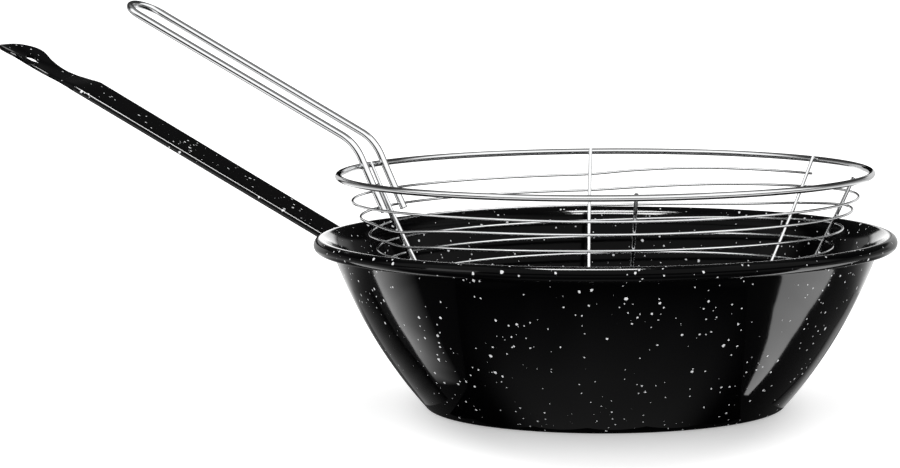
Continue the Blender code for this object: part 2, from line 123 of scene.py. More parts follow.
def make_camera():
    """Stand the camera at the photograph's place."""
    level = VIEW_DISTANCE * math.cos(VIEW_HEIGHT_ANGLE)
    height = AIM_UP + VIEW_DISTANCE * math.sin(VIEW_HEIGHT_ANGLE)
    place = studio_place(AIM_RIGHT, -level, height)
    aim = studio_place(AIM_RIGHT, 0.0, AIM_UP)
    gaze = (aim - place).normalized()
    right = gaze.cross(view_up).normalized()
    up = right.cross(gaze)
    axes = Matrix((right, up, -gaze)).transposed().to_4x4()
    data = bpy.data.cameras.new("photo_camera")
    data.sensor_width = SENSOR_WIDTH
    data.lens = FOCAL_PIXELS / IMAGE_WIDTH * SENSOR_WIDTH
    data.clip_start = VIEW_DISTANCE / CLIP_RATIO
    data.clip_end = VIEW_DISTANCE * CLIP_RATIO
    camera = bpy.data.objects.new("photo_camera", data)
    bpy.context.scene.collection.objects.link(camera)
    camera.matrix_world = Matrix.Translation(place) @ axes @ Matrix.Rotation(VIEW_ROLL, 4, "Z")
    bpy.context.scene.camera = camera
    return camera


camera = make_camera()
print(f"camera: {camera.data.lens:.1f} mm lens at", [round(x, 3) for x in camera.location])

# %% [markdown]
# ## Small tools for paths
#
# Everything on this object follows a line: the pot's wall is a profile turned round the axis, the
# handle is a strip along a path, and the basket is wire. A few helpers draw arcs, shift a line
# sideways and read a place along it. They work in the plane of reach from the axis and height.

# %% Path helpers
def polar(radius, angle):
    """Return a point on a circle round the origin of a plane."""
    return Vector((radius * math.cos(angle), radius * math.sin(angle)))


def round_axis(radius, angle, height):
    """Return the place at a distance from the axis, in a direction and at a height."""
    return Vector((*polar(radius, angle), height))


def arc(centre, radius, start, end, segments):
    """Return the points of an arc, both ends included."""
    shares = [index / segments for index in range(segments + 1)]
    return [centre + polar(radius, start + (end - start) * share) for share in shares]


def bend_round(start, before, after, radius, segments):
    """Return the arc that turns a path clockwise from one direction to another."""
    centre = start + Vector((before.y, -before.x)) * radius
    first = math.atan2(start.y - centre.y, start.x - centre.x)
    return arc(centre, radius, first, first - before.angle(after), segments)


def bowed_line(start, end, bulge, segments):
    """Return a line between two points that swells outwards by the bulge."""
    run = end - start
    side = Vector((run.y, -run.x)).normalized()
    if side.x < 0.0:
        side.negate()
    points = []
    for index in range(segments + 1):
        share = index / segments
        points.append(start + run * share + side * (4.0 * share * (1.0 - share) * bulge))
    return points


def path_lengths(points):
    """Return the distance along a path at each of its points."""
    lengths = [0.0]
    for first, second in zip(points, points[1:]):
        lengths.append(lengths[-1] + (second - first).length)
    return lengths


def along(points, lengths, distance):
    """Return the point at a distance along a path."""
    distance = min(max(distance, 0.0), lengths[-1])
    index = 0
    while index < len(points) - 2 and lengths[index + 1] < distance:
        index += 1
    share = (distance - lengths[index]) / (lengths[index + 1] - lengths[index])
    return points[index].lerp(points[index + 1], share)


def at_height(points, height):
    """Return the point of a falling path at a height."""
    for upper, lower in zip(points, points[1:]):
        if lower.y <= height <= upper.y:
            return lower.lerp(upper, (height - lower.y) / (upper.y - lower.y))
    return points[0]


def offset_path(points, distance):
    """Shift a path in its plane to the right of its direction."""
    shifted = []
    for index, point in enumerate(points):
        before = points[max(index - 1, 0)]
        after = points[min(index + 1, len(points) - 1)]
        run = (after - before).normalized()
        shifted.append(point + Vector((run.y, -run.x)) * distance)
    return shifted


def eased(share):
    """Return a share from 0 to 1 that starts and ends gently."""
    return share * share * (3.0 - 2.0 * share)


def spread(table, key):
    """Read a table of rows smoothly at a key that lies in its first column."""
    index = 0
    while index < len(table) - 2 and table[index + 1][0] < key:
        index += 1
    before = table[max(index - 1, 0)]
    first = table[index]
    second = table[index + 1]
    after = table[min(index + 2, len(table) - 1)]
    gap = second[0] - first[0]
    here = (key - first[0]) / gap
    values = []
    for column in range(1, len(first)):
        low = (second[column] - before[column]) / (second[0] - before[0]) * gap
        high = (after[column] - first[column]) / (after[0] - first[0]) * gap
        rise = second[column] - first[column]
        square = 3.0 * rise - 2.0 * low - high
        cube = low + high - 2.0 * rise
        values.append(first[column] + here * (low + here * (square + here * cube)))
    return values


quarter = arc(Vector((0.0, 0.0)), 10.0 * MM, 0.0, math.pi / 2.0, 8)
print(f"a quarter turn of 10 mm radius measures {path_lengths(quarter)[-1] / MM:.1f} mm")

# %% [markdown]
# ## Finishing a piece
#
# The export bakes plain meshes, so each piece ends as one mesh at the origin with its modifiers
# applied. The pot and its handle are both bare surfaces that get a sheet's thickness. Their edges
# sharper than a set angle stay crisp and the rest is shaded smooth.

# %% Finish helpers
CREASE_ANGLE = math.radians(38.0)


def new_mesh_object(name, mesh):
    """Put a mesh into the scene under a name."""
    piece = bpy.data.objects.new(name, mesh)
    bpy.context.scene.collection.objects.link(piece)
    return piece


def take_mesh(shape, name):
    """Turn a bmesh into a mesh of that name."""
    mesh = bpy.data.meshes.new(name)
    shape.to_mesh(mesh)
    shape.free()
    return mesh


def thicken(piece, thickness):
    """Give a bare surface its sheet's thickness, half of it to each side."""
    sheet = piece.modifiers.new("sheet", "SOLIDIFY")
    sheet.thickness = thickness
    sheet.offset = 0.0
    sheet.use_even_offset = True


def coat(piece, enamel):
    """Shade a sheet smooth between its creases and give it its enamel."""
    piece.data.shade_smooth()
    piece.data.set_sharp_from_angle(angle=CREASE_ANGLE)
    piece.data.materials.clear()
    piece.data.materials.append(enamel)


def bake_modifiers(piece):
    """Turn a piece with modifiers into a plain mesh piece of the same name."""
    bpy.context.view_layer.update()
    graph = bpy.context.evaluated_depsgraph_get()
    mesh = bpy.data.meshes.new_from_object(piece.evaluated_get(graph), depsgraph=graph)
    name = piece.name
    bpy.data.objects.remove(piece)
    mesh.name = name
    return new_mesh_object(name, mesh)


def hand_over(piece, body, *nodes):
    """Let a finished piece ride on its body and stand for its CAD nodes."""
    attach(piece, body)
    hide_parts(*nodes)
    faces = len(piece.data.polygons)
    print(f"{piece.name}: {faces} faces, rides on {body}, stands for {', '.join(nodes)}")


# %% [markdown]
# ## Building node trees
#
# Shader groups and Geometry Nodes trees are both made of nodes joined by links. These helpers
# keep their recipes short. The first adds a node and fills its inputs, by value or from another
# node's output. The others start a material, open a group's sockets, and add the nodes used most.

# %% Node helpers
def add_node(tree, kind, inputs=None, **settings):
    """Add a node, set its properties, and fill its inputs by value or by link."""
    node = tree.nodes.new(kind)
    for name, value in settings.items():
        setattr(node, name, value)
    for key, value in (inputs or {}).items():
        if isinstance(value, bpy.types.NodeSocket):
            tree.links.new(value, node.inputs[key])
        else:
            node.inputs[key].default_value = value
    return node


def calc(tree, operation, *values):
    """Add a Math node and return its output."""
    inputs = dict(enumerate(values))
    return add_node(tree, "ShaderNodeMath", inputs, operation=operation).outputs[0]


def new_material(name):
    """Make a material and return it with its tree and its shader."""
    material = bpy.data.materials.new(name)
    material.use_nodes = True
    return material, material.node_tree, material.node_tree.nodes["Principled BSDF"]


def open_socket(tree, name, kind, way="INPUT", default=None):
    """Open a named socket on a group's interface."""
    socket = tree.interface.new_socket(name=name, in_out=way, socket_type="NodeSocket" + kind)
    if default is not None:
        socket.default_value = default


def put_out(tree, value):
    """Lead a value to a group's one output."""
    tree.links.new(value, tree.nodes.new("NodeGroupOutput").inputs[0])


def add_noise(tree, place, grain, detail):
    """Add a noise with grains of about one size and return its outputs."""
    inputs = {"Vector": place, "Scale": 1.0 / grain, "Detail": detail}
    return add_node(tree, "ShaderNodeTexNoise", inputs).outputs


def dot_with(tree, vector, direction):
    """Return the dot product of a vector with a fixed direction."""
    node = add_node(
        tree, "ShaderNodeVectorMath", {0: vector, 1: tuple(direction)}, operation="DOT_PRODUCT"
    )
    return node.outputs["Value"]


def smooth_step(tree, value, low, high):
    """Add a Map Range node that eases from 0 at low to 1 at high."""
    inputs = {"Value": value, "From Min": low, "From Max": high}
    node = add_node(tree, "ShaderNodeMapRange", inputs, interpolation_type="SMOOTHSTEP")
    return node.outputs["Result"]


# %% [markdown]
# ## Enamel specks
#
# The white specks are droplets of glass frit that landed at random: most are half a millimetre to
# one and a half across, a few larger, none quite round, and they come in loose clusters. A
# Voronoi texture scatters one centre in each cell of space. A centre makes a speck where it lies
# closer to the surface than its own random radius, and a slow noise thins the cells out between
# clusters. The pot and its handle share the effect, so it is a shader group with its sizes as
# inputs.

# %% Speck group
SPECK_LEAST_SHARE = 0.4
SPECK_SHARE_SPREAD = 0.6
SPECK_EDGE = 0.12 * MM
SPECK_WOBBLE = 0.9 * MM
SPECK_WOBBLE_GRAIN = 1.1 * MM
CLUSTER_GRAIN = 26.0 * MM
CLUSTER_EDGES = (0.36, 0.64)
# The chance of a speck, times this between the clusters and so much more inside them
THIN_CHANCE = 0.3
CLUSTER_CHANCE = 1.35


def make_speck_group():
    """Build the group that puts out a mask of enamel specks."""
    tree = bpy.data.node_groups.new("enamel_specks", "ShaderNodeTree")
    open_socket(tree, "Vector", "Vector")
    open_socket(tree, "Cell Size", "Float", default=6.0 * MM)
    open_socket(tree, "Speck Radius", "Float", default=0.8 * MM)
    open_socket(tree, "Filled Share", "Float", default=0.5)
    open_socket(tree, "Mask", "Float", "OUTPUT")
    inside = tree.nodes.new("NodeGroupInput").outputs
    wobble = add_noise(tree, inside["Vector"], SPECK_WOBBLE_GRAIN, 1.0)["Color"]
    centred = add_node(
        tree, "ShaderNodeVectorMath", {0: wobble, 1: (0.5, 0.5, 0.5)}, operation="SUBTRACT"
    ).outputs[0]
    shifted = add_node(
        tree, "ShaderNodeVectorMath", {0: centred, "Scale": SPECK_WOBBLE}, operation="SCALE"
    ).outputs[0]
    spot = add_node(
        tree, "ShaderNodeVectorMath", {0: inside["Vector"], 1: shifted}, operation="ADD"
    ).outputs[0]
    density = calc(tree, "DIVIDE", 1.0, inside["Cell Size"])
    cells = add_node(
        tree, "ShaderNodeTexVoronoi", {"Vector": spot, "Scale": density, "Randomness": 1.0}
    ).outputs
    distance = calc(tree, "MULTIPLY", cells["Distance"], inside["Cell Size"])
    dice = add_node(tree, "ShaderNodeSeparateColor", {"Color": cells["Color"]}).outputs
    size_share = calc(tree, "MULTIPLY_ADD", dice["Red"], SPECK_SHARE_SPREAD, SPECK_LEAST_SHARE)
    radius = calc(tree, "MULTIPLY", inside["Speck Radius"], size_share)
    depth = calc(tree, "SUBTRACT", radius, distance)
    shape = smooth_step(tree, depth, 0.0, SPECK_EDGE)
    drift = add_noise(tree, inside["Vector"], CLUSTER_GRAIN, 1.0)["Fac"]
    crowd = smooth_step(tree, drift, *CLUSTER_EDGES)
    crowded = calc(tree, "MULTIPLY_ADD", crowd, CLUSTER_CHANCE, THIN_CHANCE)
    chance = calc(tree, "MULTIPLY", inside["Filled Share"], crowded)
    present = calc(tree, "LESS_THAN", dice["Green"], chance)
    put_out(tree, calc(tree, "MULTIPLY", shape, present))
    return tree


speck_group = make_speck_group()
print("shader group:", speck_group.name, "with", len(speck_group.nodes), "nodes")

# %% [markdown]
# ## Enamel
#
# Fired enamel is a thin coat of black glass: almost no colour of its own, and a gloss that
# mirrors the room. It never dries perfectly level, so a very slow, very low noise bends the
# reflections a little. The specks lie in the same coat and stand a hair proud of it.

# %% Enamel material
ENAMEL_BLACK = (0.0011, 0.0011, 0.0013, 1.0)
SPECK_WHITE = (0.92, 0.93, 0.94, 1.0)
LARGE_SPECKS = {"Cell Size": 4.6 * MM, "Speck Radius": 0.88 * MM, "Filled Share": 0.44}
FINE_SPECKS = {"Cell Size": 2.8 * MM, "Speck Radius": 0.58 * MM, "Filled Share": 0.32}
ENAMEL_SPECULAR = 0.055
ENAMEL_ROUGHNESS = 0.055
WAVE_ROUGHNESS = 0.05
SPECK_ROUGHNESS = 0.18
WAVE_LENGTH = 30.0 * MM
WAVE_HEIGHT = 0.2 * MM
WAVE_STRENGTH = 0.35
# How proud a speck stands, as a share of the waves' height
SPECK_PROUD = 0.25


def make_enamel(name, shift):
    """Make speckled black enamel, its pattern shifted so that no two pieces match."""
    material, tree, shader = new_material(name)
    place = tree.nodes.new("ShaderNodeTexCoord").outputs["Object"]
    place = add_node(tree, "ShaderNodeMapping", {"Vector": place, "Location": shift}).outputs[0]
    masks = []
    for sizes in (LARGE_SPECKS, FINE_SPECKS):
        group = add_node(
            tree, "ShaderNodeGroup", {"Vector": place, **sizes}, node_tree=speck_group
        )
        masks.append(group.outputs["Mask"])
    specks = calc(tree, "MAXIMUM", *masks)
    mix = add_node(tree, "ShaderNodeMix", data_type="RGBA")
    tree.links.new(specks, mix.inputs["Factor"])
    mix.inputs["A"].default_value = ENAMEL_BLACK
    mix.inputs["B"].default_value = SPECK_WHITE
    tree.links.new(mix.outputs["Result"], shader.inputs["Base Color"])
    waves = add_noise(tree, place, WAVE_LENGTH, 2.0)["Fac"]
    level = calc(tree, "MULTIPLY_ADD", specks, SPECK_PROUD, waves)
    relief = {"Strength": WAVE_STRENGTH, "Distance": WAVE_HEIGHT, "Height": level}
    bump = add_node(tree, "ShaderNodeBump", relief).outputs["Normal"]
    tree.links.new(bump, shader.inputs["Normal"])
    gloss = calc(tree, "MULTIPLY_ADD", waves, WAVE_ROUGHNESS, ENAMEL_ROUGHNESS)
    rough = calc(tree, "MULTIPLY_ADD", specks, SPECK_ROUGHNESS, gloss)
    tree.links.new(rough, shader.inputs["Roughness"])
    shader.inputs["Specular IOR Level"].default_value = ENAMEL_SPECULAR
    print("enamel:", name, "with", len(tree.nodes), "nodes")
    return material


pot_enamel = make_enamel("pot_enamel", (0.031, 0.017, 0.0))
handle_enamel = make_enamel("handle_enamel", (0.0, 0.043, 0.009))

# %% [markdown]
# ## The pot
#
# A spun or pressed bowl is a sheet whose section never changes round the axis, so it is one
# profile turned by a Screw modifier and thickened by Solidify. The profile runs from the sheet's
# edge, round the rolled rim, down a short flare and the slightly bowed wall, round the base
# corner and along the floor to the axis. The basket hides the floor, so it is left flat.

# %% Pot profile
SHELL_THICKNESS = 1.4 * MM
BEAD_RADIUS = 3.5 * MM
RIM_FLARE_RADIUS = 16.0 * MM
BEAD_ENTRY_ANGLE = math.radians(125.0)
BEAD_END_ANGLE = math.radians(-158.0)
WALL_TOP_ANGLE = math.radians(70.0)
WALL_BULGE = 4.0 * MM
BASE_FLAT_DIAMETER = 175.0 * MM
BASE_CORNER_RADIUS = 3.4 * MM
BASE_CORNER_ANGLE = math.radians(-36.0)
RIM_DIAMETER = 290.0 * MM
POT_HEIGHT = 86.0 * MM

SHELL_STEPS = 256
BEAD_STEPS = 40
FLARE_STEPS = 12
WALL_STEPS = 28
CORNER_STEPS = 12
FLOOR_STEPS = 6
# The turned profile meets itself on the axis, within this
AXIS_MERGE = SHELL_THICKNESS / 100.0

bead_centre = Vector((RIM_DIAMETER / 2.0 - BEAD_RADIUS, POT_HEIGHT - BEAD_RADIUS))


def pot_wall_profile():
    """Return the middle of the pot's sheet from the rolled edge to the axis."""
    half = SHELL_THICKNESS / 2.0
    bead = arc(bead_centre, BEAD_RADIUS - half, BEAD_END_ANGLE, BEAD_ENTRY_ANGLE, BEAD_STEPS)
    flare_centre = bead[-1] - polar(RIM_FLARE_RADIUS, BEAD_ENTRY_ANGLE)
    flare_end = WALL_TOP_ANGLE + math.pi / 2.0
    flare = arc(flare_centre, RIM_FLARE_RADIUS, BEAD_ENTRY_ANGLE, flare_end, FLARE_STEPS)
    corner_centre = Vector((BASE_FLAT_DIAMETER / 2.0, BASE_CORNER_RADIUS))
    corner_middle = BASE_CORNER_RADIUS - half
    corner = arc(corner_centre, corner_middle, BASE_CORNER_ANGLE, -math.pi / 2.0, CORNER_STEPS)
    wall = bowed_line(flare[-1], corner[0], WALL_BULGE, WALL_STEPS)
    floor = []
    for index in range(1, FLOOR_STEPS + 1):
        floor.append(Vector((corner[-1].x * (1.0 - index / FLOOR_STEPS), half)))
    return bead + flare[1:] + wall[1:] + corner[1:] + floor


pot_profile = pot_wall_profile()
outer_face = offset_path(pot_profile, -SHELL_THICKNESS / 2.0)[BEAD_STEPS + 1 :]
print(f"pot profile: {path_lengths(pot_profile)[-1] / MM:.0f} mm from edge to axis")


def wall_outside(height):
    """Return the radius of the pot's outer face at a height on its wall."""
    return at_height(outer_face, height).x


# %% Turn and thicken the pot
def make_pot():
    """Turn the profile round the axis, thicken it and give it its enamel."""
    mesh = bpy.data.meshes.new("pot_shell")
    edges = [(index, index + 1) for index in range(len(pot_profile) - 1)]
    mesh.from_pydata([(point.x, 0.0, point.y) for point in pot_profile], edges, [])
    pot = new_mesh_object("pot_shell", mesh)
    screw = pot.modifiers.new("turn", "SCREW")
    screw.angle = math.tau
    screw.steps = SHELL_STEPS
    screw.render_steps = SHELL_STEPS
    screw.use_merge_vertices = True
    screw.merge_threshold = AXIS_MERGE
    thicken(pot, SHELL_THICKNESS)
    pot = bake_modifiers(pot)
    shape = bmesh.new()
    shape.from_mesh(pot.data)
    bmesh.ops.recalc_face_normals(shape, faces=shape.faces)
    shape.to_mesh(pot.data)
    shape.free()
    coat(pot, pot_enamel)
    hand_over(pot, "pot", "pot_body")
    return pot


pot = make_pot()

# %% [markdown]
# ## The pot's handle
#
# The handle is a strip pressed to a shallow channel that opens downwards. It hugs the wall under
# the rim, where it is welded, bends out and rises straight to its end. There the flanges fade,
# the strip necks in and widens again to a dished lobe with a hanging hole, and its tip turns
# down. A grid of stations along the path and points across the section follows all of that, then
# it is thickened, the hole is cut, and a small Bevel rounds the cut edges as the enamel does.

# %% Handle sizes
FIT_GAP = 0.3 * MM
HANDLE_THICKNESS = 1.3 * MM
HANDLE_REACH = 349.2 * MM
HANDLE_RISE_ANGLE = math.radians(26.6)
HANDLE_BEAD_CLEARANCE = 1.8 * MM
HANDLE_ROOT_WIDTH = 26.0 * MM
HANDLE_TIP_WIDTH = 30.0 * MM
HANDLE_DEPTH = 3.0 * MM
HANDLE_EDGE_RADIUS = 1.6 * MM
HANDLE_BEND_RADIUS = 9.0 * MM
HANDLE_TAB_LENGTH = 28.0 * MM
TAB_CORNER_RADIUS = HANDLE_ROOT_WIDTH / 3.0
HANDLE_END_LENGTH = 56.0 * MM
HANDLE_END_DIP = 3.2 * MM
HANDLE_LEAST_DEPTH = 1.3 * MM
HANDLE_DISH_DEPTH = 2.4 * MM
HANG_HOLE_DIAMETER = 7.5 * MM
HANG_HOLE_FROM_TIP = 18.5 * MM
CUTTER_LENGTH = HANDLE_DEPTH * 6.0
ENAMEL_EDGE = 0.4 * MM
# Way along the handle's end, width, dip, channel depth and dish, as shares
HANDLE_END_SHARES = (
    (0.0, 1.0, 0.0, 1.0, 0.0),
    (0.06, 0.96, 0.17, 0.75, 0.0),
    (0.14, 0.87, 0.48, 0.2, 0.0),
    (0.26, 0.75, 0.82, 0.0, 0.0),
    (0.4, 0.72, 1.0, 0.0, 0.1),
    (0.57, 0.83, 0.88, 0.0, 0.6),
    (0.71, 1.0, 0.58, 0.0, 1.0),
    (0.81, 0.99, 0.68, 0.0, 0.9),
    (0.91, 0.8, 1.02, 0.0, 0.4),
    (0.96, 0.61, 1.28, 0.0, 0.1),
    (0.99, 0.42, 1.5, 0.0, 0.0),
    (1.0, 0.3, 1.58, 0.0, 0.0),
)
TAB_STEPS = 24
BEND_STEPS = 16
STRAIGHT_STEPS = 40
END_STEPS = 64
EDGE_STEPS = 8
WEB_STEPS = 10
HOLE_STEPS = 48
BEVEL_STEPS = 3
BEVEL_ANGLE = math.radians(60.0)
# Rounds in which the corner under the rim settles on the wall
SETTLING_ROUNDS = 40


# %% Handle path
def handle_path():
    """Return the tab, the bend and the tip of the handle's web."""
    half = HANDLE_THICKNESS / 2.0
    run = polar(1.0, HANDLE_RISE_ANGLE)
    up = Vector((-run.y, run.x))
    under_bead = bead_centre - up * (BEAD_RADIUS + HANDLE_BEAD_CLEARANCE + half)
    standoff = FIT_GAP + half
    height = under_bead.y
    for _ in range(SETTLING_ROUNDS):
        reach = wall_outside(height) + standoff
        height = under_bead.y + (reach - under_bead.x) * math.tan(HANDLE_RISE_ANGLE)
    corner = Vector((reach, height))
    tab = []
    for index in range(TAB_STEPS + 1):
        level = corner.y - HANDLE_TAB_LENGTH * (1.0 - index / TAB_STEPS)
        tab.append(Vector((wall_outside(level) + standoff, level)))
    wall_run = (tab[-1] - tab[-2]).normalized()
    start = corner - wall_run * (HANDLE_BEND_RADIUS * math.tan(wall_run.angle(run) / 2.0))
    bend = bend_round(start, wall_run, run, HANDLE_BEND_RADIUS, BEND_STEPS)
    tab = [point for point in tab if point.y < start.y - half]
    tip = bend[-1] + run * ((HANDLE_REACH - bend[-1].x) / run.x)
    return tab, bend, tip


def handle_section(half_width, depth):
    """Return the channel's section as side and drop, from edge to edge."""
    radius = min(HANDLE_EDGE_RADIUS, depth)
    corner_side = half_width - radius
    side_points = [Vector((half_width, depth)), Vector((half_width, (depth + radius) / 2.0))]
    for index in range(EDGE_STEPS + 1):
        swing = polar(radius, math.pi / 2.0 * index / EDGE_STEPS)
        side_points.append(Vector((corner_side + swing.x, radius - swing.y)))
    web = []
    for index in range(1, WEB_STEPS):
        web.append(Vector((corner_side * (1.0 - 2.0 * index / WEB_STEPS), 0.0)))
    other = [Vector((-point.x, point.y)) for point in reversed(side_points)]
    return side_points + web + other


# %% Handle stations
def handle_stations():
    """Return place, direction, half width, depth, bow and dish along the handle."""
    tab, bend, tip = handle_path()
    run = polar(1.0, HANDLE_RISE_ANGLE)
    half_thickness = HANDLE_THICKNESS / 2.0
    full_depth = HANDLE_DEPTH - half_thickness
    least_depth = HANDLE_LEAST_DEPTH - half_thickness
    root = tab + bend
    lengths = path_lengths(root)
    stations = []
    for index, point in enumerate(root):
        before = root[max(index - 1, 0)]
        after = root[min(index + 1, len(root) - 1)]
        direction = run if index == len(root) - 1 else (after - before).normalized()
        share = eased(min(1.0, lengths[index] / HANDLE_TAB_LENGTH))
        depth = half_thickness + (full_depth - half_thickness) * share
        half_width = HANDLE_ROOT_WIDTH / 2.0
        short = max(0.0, TAB_CORNER_RADIUS - lengths[index])
        half_width -= TAB_CORNER_RADIUS - math.sqrt(TAB_CORNER_RADIUS**2 - short**2)
        bow = 1.0 - min(1.0, max(0.0, (index - len(tab) + 1) / len(bend)))
        stations.append((point, direction, half_width, depth, bow, 0.0))
    straight = (tip - bend[-1]).length
    end_start = straight - HANDLE_END_LENGTH
    distances = [end_start * index / STRAIGHT_STEPS for index in range(1, STRAIGHT_STEPS)]
    for index in range(END_STEPS + 1):
        way = math.sin(math.pi / 2.0 * index / END_STEPS)
        distances.append(end_start + HANDLE_END_LENGTH * way)
    for distance in distances:
        way = max(distance - end_start, 0.0) / HANDLE_END_LENGTH
        wide, dipped, deep, dished = spread(HANDLE_END_SHARES, way)
        width = HANDLE_ROOT_WIDTH + (HANDLE_TIP_WIDTH - HANDLE_ROOT_WIDTH) * distance / straight
        half_width = width / 2.0 * wide - half_thickness
        depth = least_depth + (full_depth - least_depth) * max(deep, 0.0)
        dish = HANDLE_DISH_DEPTH * max(dished, 0.0)
        point = bend[-1] + run * distance + Vector((run.y, -run.x)) * HANDLE_END_DIP * dipped
        stations.append((point, run, half_width, depth, 0.0, dish))
    return stations, tip


stations, handle_tip = handle_stations()
strip_length = path_lengths([station[0] for station in stations])[-1]
print(f"handle: {len(stations)} stations along {strip_length / MM:.0f} mm of strip")

# %% Press the handle
def make_hole_cutter(tip):
    """Make the pin that cuts the hanging hole, square to the handle's web."""
    run = polar(1.0, HANDLE_RISE_ANGLE)
    hole_at = tip - run * HANG_HOLE_FROM_TIP
    shape = bmesh.new()
    bmesh.ops.create_cone(
        shape,
        cap_ends=True,
        segments=HOLE_STEPS,
        radius1=HANG_HOLE_DIAMETER / 2.0,
        radius2=HANG_HOLE_DIAMETER / 2.0,
        depth=CUTTER_LENGTH,
    )
    cutter = new_mesh_object("hang_hole_cutter", take_mesh(shape, "hang_hole_cutter"))
    lean = Matrix.Rotation(HANDLE_RISE_ANGLE, 4, "Y")
    cutter.matrix_world = Matrix.Translation((-hole_at.x, 0.0, hole_at.y)) @ lean
    return cutter


def make_handle():
    """Press a strip along its path, cut the hole and round the edges."""
    columns = len(handle_section(HANDLE_ROOT_WIDTH, HANDLE_DEPTH))
    rows = len(stations)
    shape = bmesh.new()
    bmesh.ops.create_grid(shape, x_segments=rows - 1, y_segments=columns - 1, size=1.0)
    for vertex in shape.verts:
        row = round((vertex.co.x + 1.0) / 2.0 * (rows - 1))
        column = round((vertex.co.y + 1.0) / 2.0 * (columns - 1))
        point, direction, half_width, depth, bow_share, dish = stations[row]
        place = handle_section(half_width, depth)[column]
        hollow = dish * (1.0 - (place.x / half_width) ** 2)
        spot = point + Vector((direction.y, -direction.x)) * (place.y + hollow)
        bow = point.x - math.sqrt(point.x**2 - place.x**2)
        vertex.co = Vector((-spot.x + bow * bow_share, place.x, spot.y))
    bmesh.ops.recalc_face_normals(shape, faces=shape.faces)
    handle = new_mesh_object("handle_strip", take_mesh(shape, "handle_strip"))
    thicken(handle, HANDLE_THICKNESS)
    cutter = make_hole_cutter(handle_tip)
    hole = handle.modifiers.new("hang_hole", "BOOLEAN")
    hole.operation = "DIFFERENCE"
    hole.object = cutter
    edges = handle.modifiers.new("enamel_edge", "BEVEL")
    edges.width = ENAMEL_EDGE
    edges.segments = BEVEL_STEPS
    edges.limit_method = "ANGLE"
    edges.angle_limit = BEVEL_ANGLE
    handle = bake_modifiers(handle)
    bpy.data.objects.remove(cutter)
    coat(handle, handle_enamel)
    hand_over(handle, "pot", "pot_handle")
    return handle


handle = make_handle()

# %% [markdown]
# ## Bright wire
#
# Basket wire is drawn steel with a bright plating. Drawing leaves faint lines along the wire, and
# the plating softens them, so the metal is nearly a mirror with a slightly uneven roughness. The
# wires store how far along and how far round each point lies, and the pattern follows those two
# values.

# %% Wire material
WIRE_STEEL = (0.68, 0.685, 0.69)
# The thin winding reads brighter than the other wires in the photograph
# Painted highlight: the same steel gets a colour this much brighter, so the winding reads as more
# brightly lit
SPIRAL_PAINTED_BRIGHTNESS = 1.3
MARK_LENGTH = 14.0 * MM
MARK_SHADE = 0.93
MARK_DEPTH = 0.006 * MM
MARK_STRENGTH = 0.12
MARK_ROUGHNESS = 0.08


def make_draw_mark_group():
    """Build the group that puts out faint lines along a drawn wire."""
    tree = bpy.data.node_groups.new("draw_marks", "ShaderNodeTree")
    open_socket(tree, "Line Length", "Float", default=MARK_LENGTH)
    open_socket(tree, "Lines Around", "Float", default=9.0)
    open_socket(tree, "Marks", "Float", "OUTPUT")
    inside = tree.nodes.new("NodeGroupInput").outputs
    run = add_node(tree, "ShaderNodeAttribute", attribute_name="wire_run").outputs["Fac"]
    turn_share = add_node(tree, "ShaderNodeAttribute", attribute_name="wire_round").outputs["Fac"]
    angle = calc(tree, "MULTIPLY", turn_share, math.tau)
    across = calc(tree, "MULTIPLY", calc(tree, "COSINE", angle), inside["Lines Around"])
    upward = calc(tree, "MULTIPLY", calc(tree, "SINE", angle), inside["Lines Around"])
    lengthwise = calc(tree, "DIVIDE", run, inside["Line Length"])
    place = add_node(tree, "ShaderNodeCombineXYZ", {"X": across, "Y": upward, "Z": lengthwise})
    grain = {"Vector": place.outputs[0], "Scale": 1.0, "Detail": 3.0, "Roughness": 0.6}
    put_out(tree, add_node(tree, "ShaderNodeTexNoise", grain).outputs["Fac"])
    return tree


draw_mark_group = make_draw_mark_group()


def make_wire_steel(name, painted_brightness, roughness, lines_around):
    """Make bright plated steel for a wire of one gauge, its colour painted so much brighter than
    the ring's.
    """
    material, tree, shader = new_material(name)
    marks = add_node(
        tree, "ShaderNodeGroup", {"Lines Around": lines_around}, node_tree=draw_mark_group
    ).outputs["Marks"]
    rough = calc(tree, "MULTIPLY_ADD", marks, MARK_ROUGHNESS, roughness - MARK_ROUGHNESS / 2.0)
    tree.links.new(rough, shader.inputs["Roughness"])
    relief = {"Strength": MARK_STRENGTH, "Distance": MARK_DEPTH, "Height": marks}
    bump = add_node(tree, "ShaderNodeBump", relief).outputs["Normal"]
    tree.links.new(bump, shader.inputs["Normal"])
    tint = add_node(tree, "ShaderNodeMix", data_type="RGBA")
    tree.links.new(marks, tint.inputs["Factor"])
    # The share paints the steel's colour brighter: a painted highlight on the same metal, not a
    # different plating
    for socket, share in (("A", MARK_SHADE * painted_brightness), ("B", painted_brightness)):
        tint.inputs[socket].default_value = tuple(x * share for x in WIRE_STEEL) + (1.0,)
    tree.links.new(tint.outputs["Result"], shader.inputs["Base Color"])
    shader.inputs["Metallic"].default_value = 1.0
    print(f"steel: {name}, roughness about {roughness}")
    return material


ring_steel = make_wire_steel("ring_steel", 1.0, 0.1, 9.0)
rib_steel = make_wire_steel("rib_steel", 1.0, 0.11, 7.0)
spiral_steel = make_wire_steel("spiral_steel", SPIRAL_PAINTED_BRIGHTNESS, 0.12, 5.0)
loop_steel = make_wire_steel("loop_steel", 1.0, 0.09, 10.0)
weld_steel = make_wire_steel("weld_steel", 1.0, 0.25, 3.0)

# %% [markdown]
# ## A tree that draws wire
#
# All the wires are the same thing: a round section carried along a line. So one Geometry Nodes
# tree draws them all. It takes a line of edges, stores the two values that the metal's pattern
# needs, sweeps a circle along it, closes the cut ends and shades the sides smooth and the ends
# flat. Its inputs are the gauge, the number of sides and the material.

